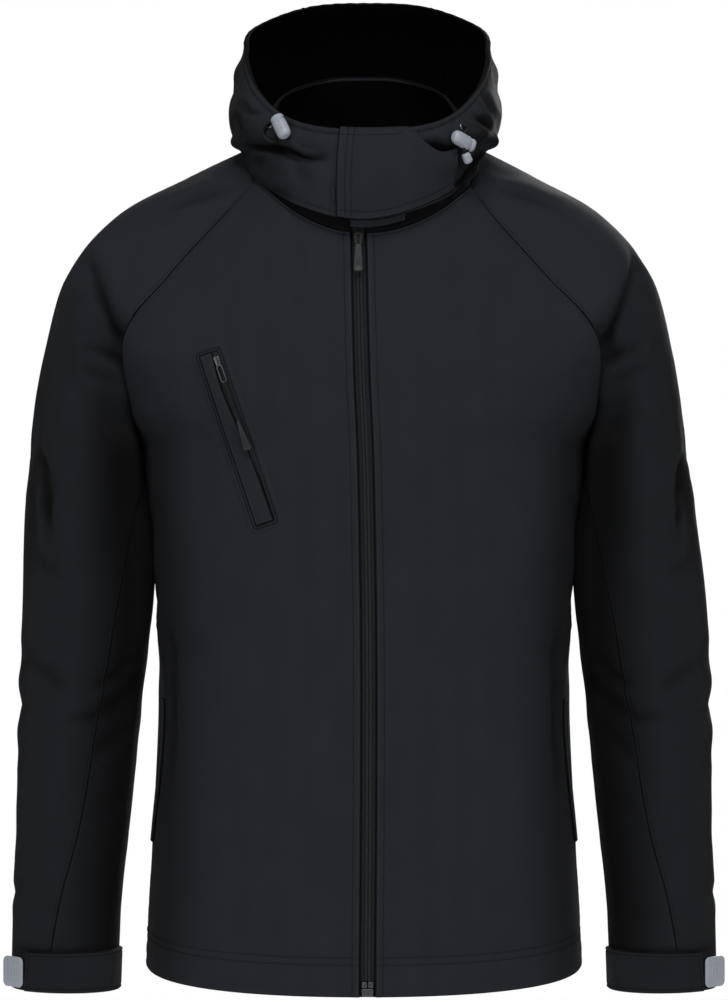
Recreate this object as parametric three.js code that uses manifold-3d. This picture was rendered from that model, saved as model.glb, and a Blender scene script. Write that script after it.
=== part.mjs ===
// A hooded softshell jacket, filled out as if worn, with raglan sleeves and a full-length zip.
// Millimetres, +Z up. The front faces -Y. The origin is in the middle of the neck, level with
// the shoulder line. "Left" and "right" are the wearer's, so left is +X.
import * as THREE from "three";
import { mergeVertices } from "three/addons/utils/BufferGeometryUtils.js";
import Module from "manifold-3d";

const wasm = await Module();
wasm.setup();

// Driving dimensions
const CLOTH = 2; // bonded softshell, face to fleece
const SEAM = 0.3; // gap between two pieces that are sewn together
const ROUND = 0.6; // how square the body's sections are: 0.55 is an ellipse, 0.75 nearly a box
const ARM_SEAM = 1; // the same for a sleeve where four edges meet under the arm
const ZIP_GAP = 14; // width of zip that shows between the front edges
const TAPE_WIDTH = 15; // one half of the zip tape
const TAPE_THICK = 0.9;
const COIL_WIDTH = 6.4;
const COIL_THICK = 1.7;

// Body sections. at: 0 hem, 1 armpit, 2 neck. front and back: [y, z] on the centre lines.
// side: the widest point. open: how far a section's end swings in towards the centre.
// lean: how much of the height from there to the centre line is gained at the side.
const BODY = [
  { at: 0, front: [-130, -730], side: [196, 0, -717], back: [120, -726], open: 0, lean: 0.75 },
  { at: 0.14, front: [-131, -668], side: [193, 0, -660], back: [119, -664], open: 0, lean: 0.6 },
  { at: 0.4, front: [-128, -551], side: [187, 0, -548], back: [112, -549], open: 0, lean: 0.3 },
  { at: 0.58, front: [-125, -468], side: [184.5, 0, -466], back: [110, -467], open: 0, lean: 0 },
  { at: 0.78, front: [-126, -376], side: [188, -2, -374], back: [118, -375], open: 0, lean: 0 },
  { at: 1, front: [-127, -262], side: [198, -6, -255], back: [128, -262], open: 0, lean: 0 },
  { at: 1.25, front: [-125, -200], side: [208, -80, -160], back: [129, -185], open: 0.16, lean: 0.18 },
  { at: 1.5, front: [-120, -150], side: [166, -82, -106], back: [121, -115], open: 0.26, lean: 0.29 },
  { at: 1.75, front: [-112, -107], side: [126, -69, -60], back: [105, -45], open: 0.2, lean: 0.22 },
  { at: 2, front: [-104, -69], side: [94, -52, -21], back: [88, 18], open: 0.03, lean: 0.03 },
];

// Where the side seam lies round the section: 1 is the widest point, less is further forward.
const SIDE_SEAM = [
  { at: 0, around: 1 },
  { at: 0.18, around: 0.95 },
  { at: 0.3, around: 0.87 },
  { at: 0.42, around: 0.81 },
  { at: 0.55, around: 0.8 },
  { at: 0.64, around: 0.88 },
  { at: 0.72, around: 0.97 },
  { at: 1, around: 1 },
];

// Sleeve sections. at: 0 neck, 1 armpit, 2 cuff. front and back: the raglan seams, which meet
// under the arm at 1 and become the inner side of the arm. ridge: the outer line of the arm.
// lift: how steeply the section leaves a seam. bulge, reach: how far it swells there and at the
// ridge, forwards and backwards. fall: how far it has dropped at the end of its reach. skew:
// how far the front seam of the two sides differs. shift: how far the wearer's right arm stands
// further out than the left one.
const SLEEVE = [
  { at: 0, front: [94, -52, -21], ridge: [104, 12, 16], back: [92, 58, 22], lift: 0.33, bulge: [-19, -15], reach: [19, 15], fall: [9, -2], skew: [0, 0, -3.5], shift: 0 },
  { at: 0.25, front: [126, -69, -60], ridge: [158, 10, -11], back: [128, 82, -28], lift: 0.45, bulge: [-8, 0], reach: [40, 38], fall: [6, 4], skew: [-6, -3, 0], shift: 2 },
  { at: 0.5, front: [166, -82, -106], ridge: [219, 6, -46], back: [163, 100, -84], lift: 0.5, bulge: [-8, -2], reach: [48, 52], fall: [4, 4], skew: [-6, -3, 0], shift: 4 },
  { at: 0.75, front: [208, -80, -160], ridge: [264, 2, -103], back: [192, 92, -150], lift: 0.42, bulge: [8, 6], reach: [60, 62], fall: [0, 0], skew: [-3, -1.5, 0], shift: 4.5 },
  { at: 0.9, front: [206, -46, -222], ridge: [282.5, 0, -172], back: [199, 46, -218], lift: 0.22, bulge: [52, 50], reach: [90, 92], fall: [0, 0], skew: [0, 0, 0], shift: 5 },
  { at: 1, front: [198, -6, -255], ridge: [291.5, 0, -228], back: [198, -6, -255], lift: 0, bulge: [106, 116], reach: [116, 122], fall: [0, 0], skew: [0, 0, 0], shift: 5.5 },
  { at: 1.15, front: [196, -2, -325], ridge: [301, 0, -312], back: [196, -2, -325], lift: 0, bulge: [100, 106], reach: [104, 107], fall: [0, 0], skew: [0, 0, 0], shift: 3.5 },
  { at: 1.35, front: [192, -4, -400], ridge: [307, -4, -395], back: [192, -4, -400], lift: 0, bulge: [86, 90], reach: [88, 91], fall: [0, 0], skew: [0, 0, 0], shift: -0.5 },
  { at: 1.55, front: [200, -8, -490], ridge: [310.5, -8, -490], back: [200, -8, -490], lift: 0, bulge: [77, 79], reach: [78, 80], fall: [0, 0], skew: [0, 0, 0], shift: -1 },
  { at: 1.75, front: [209, -14, -585], ridge: [311, -16, -588], back: [209, -14, -585], lift: 0, bulge: [69, 69], reach: [70, 70], fall: [0, 0], skew: [0, 0, 0], shift: 0 },
  { at: 1.9, front: [217, -18, -662], ridge: [313.5, -20, -664], back: [217, -18, -662], lift: 0, bulge: [62, 62], reach: [62, 62], fall: [0, 0], skew: [0, 0, 0], shift: 0 },
  { at: 2, front: [220, -20, -737], ridge: [315, -22, -735], back: [220, -20, -737], lift: 0, bulge: [56, 56], reach: [56, 56], fall: [0, 0], skew: [0, 0, 0], shift: 0 },
];

// Where the under sleeve meets the upper sleeve, round the front and round the back half.
const UNDER_SEAM = [
  { at: 1, front: 0, back: 0 },
  { at: 1.15, front: 0.18, back: 0.2 },
  { at: 1.35, front: 0.31, back: 0.3 },
  { at: 1.55, front: 0.36, back: 0.35 },
  { at: 1.75, front: 0.43, back: 0.4 },
  { at: 1.9, front: 0.53, back: 0.42 },
  { at: 2, front: 0.6, back: 0.45 },
];

// The zip's centre line, which is not quite straight.
const ZIP_LINE = [
  { at: 0, x: 3 },
  { at: 0.7, x: 4 },
  { at: 1.3, x: -2 },
  { at: 2, x: -5 },
];

// Top edge of the stand collar, by the angle round the neck from the centre front: [radius, z].
const COLLAR_TOP = [
  { at: -45, edge: [92, 20] },
  { at: 0, edge: [91, 6] },
  { at: 45, edge: [92, 20] },
  { at: 90, edge: [82, 50] },
  { at: 125, edge: [80, 74] },
  { at: 155, edge: [75, 87] },
  { at: 180, edge: [71, 89] },
  { at: 205, edge: [75, 87] },
];

// Hood profiles, by the angle round the neck: [radius, z] from the loose lower edge, down into
// the pouch that hangs behind the neck, out, and up to the rim of the face opening. Towards the
// sides the lower edge is drawn in and the cloth above hangs over it.
const HOOD = [
  { at: -30, hem: [119, -45], inside: [121, -35], bottom: [122.5, -24], outside: [124.5, -11], belly: [125, 3], brow: [123, 16], rim: [118, 28] },
  { at: 0, hem: [116, -60], inside: [118, -48], bottom: [120, -36], outside: [121.5, -22], belly: [121.5, -7], brow: [120, 8], rim: [117, 20] },
  { at: 30, hem: [119, -45], inside: [121, -35], bottom: [122.5, -24], outside: [124.5, -11], belly: [125, 3], brow: [123, 16], rim: [118, 28] },
  { at: 60, hem: [114, -14], inside: [114.5, -7], bottom: [115, 1], outside: [123, 11], belly: [124.5, 28], brow: [119, 46], rim: [110, 60] },
  { at: 90, hem: [109, 22], inside: [110.5, 18.5], bottom: [114, 16], outside: [121.5, 23], belly: [121, 48], brow: [117, 77], rim: [109, 100] },
  { at: 120, hem: [110, 30], inside: [115, 26], bottom: [124, 22], outside: [134, 42], belly: [135, 75], brow: [128, 107], rim: [117, 134] },
  { at: 150, hem: [106, 22], inside: [121, -10], bottom: [138, -54], outside: [156, 6], belly: [151, 78], brow: [133, 128], rim: [107, 157] },
  { at: 180, hem: [95, 12], inside: [121, -48], bottom: [145, -92], outside: [166, -14], belly: [154, 78], brow: [128, 134], rim: [97, 161] },
  { at: 210, hem: [106, 22], inside: [121, -10], bottom: [138, -54], outside: [156, 6], belly: [151, 78], brow: [133, 128], rim: [107, 157] },
];
const HOOD_STEPS = ["hem", "inside", "bottom", "outside", "belly", "brow", "rim"];
const HOOD_SEAM = { hem: 157, rim: 146 }; // angle of the seams of the centre panel
const HOOD_SHIFT = 3; // how far the rim stands towards the wearer's left

// The largest folds, as soft troughs between two points: depth is negative for a ridge.
const SLEEVE_FOLDS = [
  { from: [255, -38, -92], to: [214, -92, -172], depth: 13, width: 16 },
  { from: [214, -92, -172], to: [209, -80, -232], depth: 12, width: 15 },
  { from: [236, -48, -84], to: [200, -84, -150], depth: -3, width: 13 },
  { from: [196, -42, -468], to: [226, -72, -512], depth: 7, width: 17 },
  { from: [226, -72, -512], to: [252, -70, -575], depth: 4, width: 18 },
  { from: [306, -36, -250], to: [300, -58, -350], depth: 4, width: 20 },
];
const HOOD_FOLDS = {
  right: [
    { from: [-118, -45, 12], to: [-80, -98, 6], depth: 5, width: 9 },
    { from: [-80, -98, 6], to: [-36, -121, -6], depth: 6, width: 9 },
  ],
  left: [
    { from: [50, -116, 2], to: [84, -98, 2], depth: 6, width: 9 },
    { from: [84, -98, 2], to: [122, -30, 12], depth: 6, width: 10 },
    { from: [82, -100, -26], to: [98, -84, 4], depth: 5, width: 8 },
  ],
};

const FINISH = {
  softshell: { color: 0x17191b, roughness: 0.85, metalness: 0 },
  tape: { color: 0x141516, roughness: 0.9, metalness: 0 },
  coil: { color: 0x1b1c1e, roughness: 0.5, metalness: 0 },
  hardware: { color: 0x2b2d30, roughness: 0.4, metalness: 0.6 },
  steel: { color: 0xb9bcc0, roughness: 0.3, metalness: 1 },
  grey: { color: 0x8d9096, roughness: 0.55, metalness: 0 },
  cord: { color: 0x0d0d0f, roughness: 0.9, metalness: 0 },
};

const jacket = new THREE.Group();

// Vectors as plain [x, y, z]
const plus = (a, b, k = 1) => a.map((value, i) => value + k * b[i]);
const minus = (a, b) => plus(a, b, -1);
const dot = (a, b) => a[0] * b[0] + a[1] * b[1] + a[2] * b[2];
const cross = (a, b) => [
  a[1] * b[2] - a[2] * b[1],
  a[2] * b[0] - a[0] * b[2],
  a[0] * b[1] - a[1] * b[0],
];
const unit = (a) => a.map((value) => value / Math.hypot(...a));
const mirror = (a, side) => [a[0] * side, a[1], a[2]];
const mix = (a, b, t) => a + (b - a) * t;
const spaced = (count, from = 0, to = 1) =>
  Array.from({ length: count + 1 }, (_, i) => mix(from, to, i / count));

// A smooth curve through the rows of a table: every column at one position.
function row(table, at) {
  let i = 0;
  while (i < table.length - 2 && at > table[i + 1].at) i++;
  const [here, next] = [table[i], table[i + 1]];
  const before = table[Math.max(i - 1, 0)];
  const after = table[Math.min(i + 2, table.length - 1)];
  const span = next.at - here.at;
  const t = (at - here.at) / span;
  const value = (a, b, c, d) => {
    const start = ((c - a) / (next.at - before.at)) * span;
    const end = ((d - b) / (after.at - here.at)) * span;
    return (
      b * (2 * t ** 3 - 3 * t ** 2 + 1) +
      start * (t ** 3 - 2 * t ** 2 + t) +
      c * (3 * t ** 2 - 2 * t ** 3) +
      end * (t ** 3 - t ** 2)
    );
  };
  const column = (name) =>
    Array.isArray(here[name])
      ? here[name].map((_, k) => value(before[name][k], here[name][k], next[name][k], after[name][k]))
      : value(before[name], here[name], next[name], after[name]);
  return Object.fromEntries(Object.keys(here).map((name) => [name, column(name)]));
}

function bezier(p0, p1, p2, p3, t) {
  const s = 1 - t;
  return p0.map((_, i) => s ** 3 * p0[i] + 3 * s * s * t * p1[i] + 3 * s * t * t * p2[i] + t ** 3 * p3[i]);
}

// A sleeve as on the wearer's left. around: 0 front seam, 1 ridge, 2 back seam. side: 1 for the
// left sleeve, -1 for the right one.
function sleevePoint(at, around, side) {
  const r = row(SLEEVE, at);
  const half = around <= 1 ? 0 : 1;
  const seam = half ? r.back : plus(r.front, r.skew, side);
  const ridge = plus(r.ridge, [-side * r.shift, 0, 0]);
  const out = half ? 1 : -1;
  const leave = [
    seam[0] + r.lift * (ridge[0] - seam[0]),
    seam[1] + out * r.bulge[half],
    seam[2] + r.lift * (ridge[2] - seam[2]),
  ];
  const arrive = plus(ridge, [0, out * r.reach[half], -r.fall[half]]);
  return bezier(seam, leave, arrive, ridge, half ? 2 - around : around);
}

// Half of the body, as on the wearer's left. around: 0 centre front, 1 side or raglan seam, 2
// centre back.
function bodyPoint(at, around, side) {
  const r = row(BODY, at);
  const half = around <= 1 ? 0 : 1;
  const [y, z] = half ? r.back : r.front;
  const edge = at <= 1 ? r.side : sleevePoint(2 - at, half ? 2 : 0, side);
  const arrive = [
    edge[0] * (1 - r.open),
    edge[1] + ROUND * (y - edge[1]),
    edge[2] + r.lean * (z - edge[2]),
  ];
  return bezier([0, y, z], [ROUND * edge[0], y, z], arrive, edge, half ? 2 - around : around);
}

// Around for a point of the front that is x away from the centre line.
function aroundFor(x, at, side) {
  const edge = at <= 1 ? row(BODY, at).side : sleevePoint(2 - at, 0, side);
  return x / (3 * ROUND * edge[0]);
}

// The front by its distance from the centre line, on either side of it.
function frontPoint(at, x) {
  const side = x < 0 ? -1 : 1;
  return mirror(bodyPoint(at, aroundFor(Math.abs(x), at, side), side), side);
}

const zipX = (at) => row(ZIP_LINE, at).x;

function hoodPoint(angle, up) {
  const side = angle < 0 ? -1 : 1;
  const r = row(HOOD, Math.abs(angle));
  const profile = HOOD_STEPS.map((name, i) => ({ at: i / (HOOD_STEPS.length - 1), point: r[name] }));
  const [radius, z] = row(profile, up).point;
  const turn = THREE.MathUtils.degToRad(angle * side);
  return [side * radius * Math.sin(turn) + HOOD_SHIFT * up ** 2, -radius * Math.cos(turn), z];
}

// The outward normal of a surface, from points a short way off inside its range.
function normalOf(surface, a, b, [lowA, highA, lowB, highB], outward) {
  const step = 1e-3;
  const [a0, a1] = [Math.max(a - step, lowA), Math.min(a + step, highA)];
  const [b0, b1] = [Math.max(b - step, lowB), Math.min(b + step, highB)];
  const n = unit(cross(minus(surface(a1, b), surface(a0, b)), minus(surface(a, b1), surface(a, b0))));
  return n.map((value) => value * outward);
}
function bodyNormal(at, around, side) {
  const range = [at > 1 ? 1 : 0, at > 1 ? 2 : 1, around > 1 ? 1 : 0, around > 1 ? 2 : 1];
  return normalOf((a, b) => bodyPoint(a, b, side), at, around, range, -1);
}
const sleeveNormal = (at, around, side) =>
  normalOf((a, b) => sleevePoint(a, b, side), at, around, [0, 2, 0, 2], 1);
const hoodNormal = (angle, up) => normalOf(hoodPoint, angle, up, [-180, 180, 0, 1], 1);

// Two panels share one normal on the seam between them, so that their edges meet in a mitre.
// Under the arm, where four edges meet, it points straight down.
function raglanNormal(at, back, side) {
  if (at > 0.999) return [0, 0, -1];
  const body = bodyNormal(2 - at, back ? 1.001 : 0.999, side);
  return unit(plus(sleeveNormal(at, back ? 2 : 0, side), body));
}

// How far folds push a point in.
function foldDepth(folds, point) {
  return folds.reduce((sum, fold) => {
    const line = minus(fold.to, fold.from);
    const t = Math.min(1, Math.max(0, dot(minus(point, fold.from), line) / dot(line, line)));
    const away = Math.hypot(...minus(point, plus(fold.from, line, t)));
    return sum + fold.depth * Math.exp(-((away / fold.width) ** 2));
  }, 0);
}

// A closed solid between an outer and an inner grid of points. All edges are split the same
// way, so that panels whose rows run alike fit along a twisted seam.
function wall(outer, inner) {
  const [rows, cols] = [outer.length, outer[0].length];
  const at = (layer, i, j) => layer * rows * cols + i * cols + j;
  const faces = [];
  const quad = (a, b, c, d) => faces.push(a, b, c, a, c, d);
  for (let i = 0; i + 1 < rows; i++) {
    for (let j = 0; j + 1 < cols; j++) {
      quad(at(0, i, j), at(0, i, j + 1), at(0, i + 1, j + 1), at(0, i + 1, j));
      quad(at(1, i, j), at(1, i + 1, j), at(1, i + 1, j + 1), at(1, i, j + 1));
    }
    quad(at(0, i, 0), at(0, i + 1, 0), at(1, i + 1, 0), at(1, i, 0));
    quad(at(0, i, cols - 1), at(1, i, cols - 1), at(1, i + 1, cols - 1), at(0, i + 1, cols - 1));
  }
  for (let j = 0; j + 1 < cols; j++) {
    quad(at(0, 0, j), at(1, 0, j), at(1, 0, j + 1), at(0, 0, j + 1));
    quad(at(0, rows - 1, j), at(0, rows - 1, j + 1), at(1, rows - 1, j + 1), at(1, rows - 1, j));
  }
  const points = [...outer.flat(), ...inner.flat()];
  let volume = 0;
  for (let k = 0; k < faces.length; k += 3)
    volume += dot(points[faces[k]], cross(points[faces[k + 1]], points[faces[k + 2]]));
  if (volume < 0) faces.reverse();
  const geometry = new THREE.BufferGeometry();
  geometry.setAttribute("position", new THREE.BufferAttribute(new Float32Array(points.flat()), 3));
  geometry.setIndex(faces);
  return geometry;
}

// A cloth panel. point and normal are functions of a row and a column; its edges are drawn in
// by half a seam gap. level is how far its outer face lies off the surface.
function panel(rows, cols, point, normal, options = {}) {
  const { thick = CLOTH, level = 0, folds = [], gap = () => SEAM } = options;
  const grid = rows.map((a) => cols.map((b) => ({ base: point(a, b), normal: normal(a, b) })));
  const outer = grid.map((line) =>
    line.map((g) => plus(g.base, g.normal, level - foldDepth(folds, g.base))),
  );
  const inner = grid.map((line, i) => line.map((g, j) => plus(outer[i][j], g.normal, -thick)));
  const draw = (i, j, k, l) => {
    const pull = unit(minus(outer[k][l], outer[i][j])).map((value) => (value * gap(rows[i])) / 2);
    return () => {
      outer[i][j] = plus(outer[i][j], pull);
      inner[i][j] = plus(inner[i][j], pull);
    };
  };
  const [last, end] = [rows.length - 1, cols.length - 1];
  const moves = [
    ...rows.flatMap((_, i) => [draw(i, 0, i, 1), draw(i, end, i, end - 1)]),
    ...cols.flatMap((_, j) => [draw(0, j, 1, j), draw(last, j, last - 1, j)]),
  ];
  moves.forEach((move) => move());
  return wall(outer, inner);
}

const mirrored = (folds, side) =>
  folds.map((fold) => ({ ...fold, from: mirror(fold.from, side), to: mirror(fold.to, side) }));

function addNode(name, geometry, finish) {
  const mesh = new THREE.Mesh(geometry, new THREE.MeshStandardMaterial(FINISH[finish]));
  mesh.name = name;
  jacket.add(mesh);
  return mesh;
}

// A closed mesh as a solid that can be cut, and back.
function solidOf(geometry) {
  const bare = geometry.clone();
  bare.deleteAttribute("normal");
  bare.deleteAttribute("uv");
  const merged = mergeVertices(bare, 1e-4);
  return new wasm.Manifold(
    new wasm.Mesh({
      numProp: 3,
      vertProperties: merged.attributes.position.array,
      triVerts: new Uint32Array(merged.index.array),
    }),
  );
}
function geometryOf(solid) {
  const mesh = solid.getMesh();
  return new THREE.BufferGeometry()
    .setAttribute("position", new THREE.BufferAttribute(mesh.vertProperties, 3))
    .setIndex(new THREE.BufferAttribute(mesh.triVerts, 1));
}

// The parameters at which a surface passes x, z as seen from the front, from a first guess.
function seenAt(surface, [x, z], [a, b]) {
  const step = 1e-4;
  for (let turn = 0; turn < 20; turn++) {
    const here = surface(a, b);
    const alongA = minus(surface(a + step, b), here).map((value) => value / step);
    const alongB = minus(surface(a, b + step), here).map((value) => value / step);
    const [missX, missZ] = [x - here[0], z - here[2]];
    const area = alongA[0] * alongB[2] - alongA[2] * alongB[0];
    a += (missX * alongB[2] - missZ * alongB[0]) / area;
    b += (alongA[0] * missZ - alongA[2] * missX) / area;
  }
  return [a, b];
}

// Shared divisions, so that panels that meet have the same points along their seam
const RAGLAN_ROWS = [0, 0.1, 0.22, 0.34, 0.45, 0.54, 0.61, 0.67, 0.73, 0.8, 0.87, 0.94, 1];
const CUFF_ROWS = [1.953, 1.976, 2];
const ARM_ROWS = [
  ...[1.05, 1.1, 1.16, 1.24, 1.32, 1.4, 1.47, 1.54, 1.61, 1.69, 1.78, 1.87, 1.92],
  ...CUFF_ROWS,
];
const BODY_ROWS = [
  ...RAGLAN_ROWS.map((at) => 2 - at),
  ...[0.91, 0.82, 0.72, 0.62, 0.52, 0.42, 0.32, 0.22, 0.13, 0.05, 0],
];
const FRONT_COLS = spaced(9);
const BACK_COLS = spaced(8);
const SLEEVE_COLS = spaced(8);

// Fronts

const seamAround = (at) => (at < 1 ? row(SIDE_SEAM, at).around : 1);
const frontStart = (at, side) => aroundFor(ZIP_GAP / 2 + side * zipX(at), at, side);
const frontAround = (at, across, side) => mix(frontStart(at, side), seamAround(at), across);
const frontNormal = (at, around, side) =>
  at >= 1 && around > 0.9999 ? raglanNormal(2 - at, false, side) : bodyNormal(at, around, side);

function frontPanel(side) {
  return panel(
    BODY_ROWS,
    FRONT_COLS,
    (at, across) => mirror(bodyPoint(at, frontAround(at, across, side), side), side),
    (at, across) => mirror(frontNormal(at, frontAround(at, across, side), side), side),
  );
}

// The back, one piece from side seam to side seam
const BEHIND = 1e-9; // keeps a point of the back raglan seam in the back half
const backAround = (at, across) =>
  mix(2, seamAround(at) + (at < 1 ? 0 : BEHIND), Math.abs(across));
const backNormal = (at, around, side) =>
  at >= 1 && around < 1.0001 ? raglanNormal(2 - at, true, side) : bodyNormal(at, around, side);

function backPanel() {
  const cols = [...BACK_COLS.slice(1).reverse().map((c) => -c), ...BACK_COLS];
  const side = (across) => (across < 0 ? -1 : 1);
  return panel(
    BODY_ROWS,
    cols,
    (at, c) => mirror(bodyPoint(at, backAround(at, c), side(c)), side(c)),
    (at, c) => mirror(backNormal(at, backAround(at, c), side(c)), side(c)),
  );
}

// Sleeves

const underSeam = (at, half) => (at <= 1 ? 0 : row(UNDER_SEAM, at)[half]);
const upperAround = (at, across) =>
  across <= 1
    ? mix(underSeam(at, "front"), 1, across)
    : mix(1, 2 - underSeam(at, "back"), across - 1);
const underAround = (at, across) =>
  across < 0 ? -across * underSeam(at, "front") : 2 - across * underSeam(at, "back");
function upperNormal(at, around, side) {
  if (at <= 1 && around < 0.0001) return raglanNormal(at, false, side);
  if (at <= 1 && around > 1.9999) return raglanNormal(at, true, side);
  return sleeveNormal(at, around, side);
}

function upperSleeve(side) {
  return panel(
    [...RAGLAN_ROWS, ...ARM_ROWS],
    [...SLEEVE_COLS, ...SLEEVE_COLS.slice(1).map((c) => c + 1)],
    (at, across) => mirror(sleevePoint(at, upperAround(at, across), side), side),
    (at, across) => mirror(upperNormal(at, upperAround(at, across), side), side),
    { folds: mirrored(SLEEVE_FOLDS, side), gap: (at) => (Math.abs(at - 1) < 0.22 ? ARM_SEAM : SEAM) },
  );
}

function underSleeve(side) {
  const around = (at, across) => (across === 0 ? 0 : underAround(at, across));
  return panel(
    ARM_ROWS,
    [1, 0.66, 0.33, 0, -0.33, -0.66, -1],
    (at, across) => mirror(sleevePoint(at, around(at, across), side), side),
    (at, across) => mirror(sleeveNormal(at, around(at, across), side), side),
    { folds: mirrored(SLEEVE_FOLDS, side) },
  );
}

// A cuff tab lies round the front half of the cuff, on the sleeve's own points.
const CUFF_TAB = { thick: 2.6, over: 0.3, end: 0.375 };

function cuffTab(side) {
  const under = [0, -0.33, -0.66, -1];
  const cols = [...under.map((c) => ({ c })), ...spaced(2, 0.125, CUFF_TAB.end).map((u) => ({ u }))];
  const around = (at, { c, u }) => (u === undefined ? (c ? underAround(at, c) : 0) : upperAround(at, u));
  return panel(
    CUFF_ROWS,
    cols,
    (at, col) => mirror(sleevePoint(at, around(at, col), side), side),
    (at, col) => mirror(sleeveNormal(at, around(at, col), side), side),
    { thick: CUFF_TAB.thick, level: CUFF_TAB.over + CUFF_TAB.thick },
  );
}

// The neck seam on one side: 0 zip, 1 front raglan, 2 shoulder, 3 back raglan, 4 centre back.
function neckPoint(k, side) {
  if (k <= 1) return mirror(bodyPoint(2, frontAround(2, k, side), side), side);
  if (k <= 3) return mirror(sleevePoint(0, k - 1, side), side);
  return mirror(bodyPoint(2, k - 2, side), side);
}

// The collar above a point of the neck seam
function collarPoint(base, up) {
  const angle = Math.atan2(base[0], -base[1]);
  const [radius, z] = row(COLLAR_TOP, Math.abs(THREE.MathUtils.radToDeg(angle))).edge;
  const top = [radius * Math.sin(angle), -radius * Math.cos(angle), z];
  const foot = plus(base, [0, 0, SEAM]);
  const swell = 3 * Math.sin(Math.PI * up);
  return plus(plus(foot, minus(top, foot), up), [Math.sin(angle), -Math.cos(angle), 0], swell);
}
const collarNormal = (base) => unit([base[0], base[1], 0.2 * Math.hypot(base[0], base[1])]);

const COLLAR_ROWS = [0, 0.35, 0.7, 1];

function collar() {
  const half = [
    ...FRONT_COLS,
    ...SLEEVE_COLS.slice(1).map((c) => 1 + c),
    ...SLEEVE_COLS.slice(1).map((c) => 2 + c),
    ...BACK_COLS.slice(1).map((c) => 3 + c),
  ];
  const cols = [
    ...half.slice(0, -1).map((k) => neckPoint(k, -1)),
    ...half.reverse().map((k) => neckPoint(k, 1)),
  ];
  return panel(
    COLLAR_ROWS,
    cols,
    (up, base) => collarPoint(base, up),
    (up, base) => collarNormal(base),
  );
}

// Hood

const HOOD_ROWS = spaced(12);
const HOOD_COLS = [0, 0.04, 0.08, 0.12, 0.16, 0.2, 0.24, 0.28, 0.35, 0.43, 0.51, 0.6, 0.7, 0.8, 0.9, 1];
const hoodSeam = (up) => mix(HOOD_SEAM.hem, HOOD_SEAM.rim, up);

function hoodSide(side, name) {
  const angle = (up, across) => side * mix(3, hoodSeam(up), across);
  return panel(
    HOOD_ROWS,
    HOOD_COLS,
    (up, across) => hoodPoint(angle(up, across), up),
    (up, across) => hoodNormal(angle(up, across), up),
    { folds: HOOD_FOLDS[name] },
  );
}

function hoodCentre() {
  const angle = (up, across) => (across < 0 ? -1 : 1) * mix(180, hoodSeam(up), Math.abs(across));
  return panel(
    HOOD_ROWS,
    [-1, -0.67, -0.33, 0, 0.33, 0.67, 1],
    (up, across) => hoodPoint(angle(up, across), up),
    (up, across) => hoodNormal(angle(up, across), up),
  );
}

// The chin tab crosses the front of the hood. at: along it from its free end; angle: round the
// neck; low and high: its edges on the hood's profile.
const CHIN_TAB = [
  { at: 0, angle: -11.6, low: 0.01, high: 1 },
  { at: 0.45, angle: 12, low: 0.02, high: 1 },
  { at: 0.75, angle: 28, low: 0.05, high: 0.8 },
  { at: 1, angle: 41, low: 0.1, high: 0.55 },
];

function chinTab() {
  const place = (up, at) => {
    const r = row(CHIN_TAB, at);
    return [r.angle, Math.min(mix(r.low, r.high, up), 1)];
  };
  return panel(
    spaced(8),
    spaced(9),
    (up, at) => hoodPoint(...place(up, at)),
    (up, at) => hoodNormal(...place(up, at)),
    { level: 3, thick: 2.2 },
  );
}

// The end of the hood's other side, which passes under the chin tab and shows below it
function chinUnderlap() {
  return panel(
    spaced(4, -0.06, 0.5),
    spaced(4, -6, 18),
    (up, angle) => hoodPoint(angle, up),
    (up, angle) => hoodNormal(angle, Math.max(up, 0)),
    { level: -3, folds: [...HOOD_FOLDS.left, ...HOOD_FOLDS.right] },
  );
}

// A bare label folded out from under the chin tab
function labelTab() {
  return panel(
    [0.2, 0.28, 0.37],
    [-13.6, -12.2],
    (up, angle) => hoodPoint(angle, up),
    (up, angle) => hoodNormal(angle, up),
    { level: 1.3, thick: 0.8 },
  );
}

// Zip. Its tapes run from the hem up the collar, under the edges of the fronts.

function zipPoint(at, x) {
  if (at <= 2) return frontPoint(at, x);
  return collarPoint(frontPoint(2, x), at - 2);
}
function zipNormal(at, x) {
  const base = frontPoint(Math.min(at, 2), x);
  if (at > 2) return collarNormal(base);
  const side = x < 0 ? -1 : 1;
  return mirror(bodyNormal(at, aroundFor(Math.abs(x), at, side), side), side);
}

function zipTape(side) {
  const x = (at, across) => zipX(Math.min(at, 2)) + side * across;
  return panel(
    [...[...BODY_ROWS].reverse().slice(0, -1), 1.99, ...COLLAR_ROWS.slice(1).map((up) => 2 + up)],
    [0, COIL_WIDTH / 2, TAPE_WIDTH / 2, TAPE_WIDTH],
    (at, across) => zipPoint(at, x(at, across)),
    (at, across) => zipNormal(at, x(at, across)),
    { level: -CLOTH - 0.6, thick: TAPE_THICK },
  );
}

// The closed coil, from the box at the hem to the slider at the neck
const SLIDER_AT = 1.965;
const BOX_AT = 0.03;

function zipCoil() {
  const rows = BODY_ROWS.filter((at) => at < SLIDER_AT && at > BOX_AT).reverse();
  return panel(
    [BOX_AT + 0.002, ...rows, SLIDER_AT - 0.02],
    [-1, -0.4, 0.4, 1].map((k) => (k * COIL_WIDTH) / 2),
    (at, across) => zipPoint(at, zipX(at) + across),
    (at, across) => zipNormal(at, zipX(at) + across),
    { level: -0.4, thick: COIL_THICK },
  );
}

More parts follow.
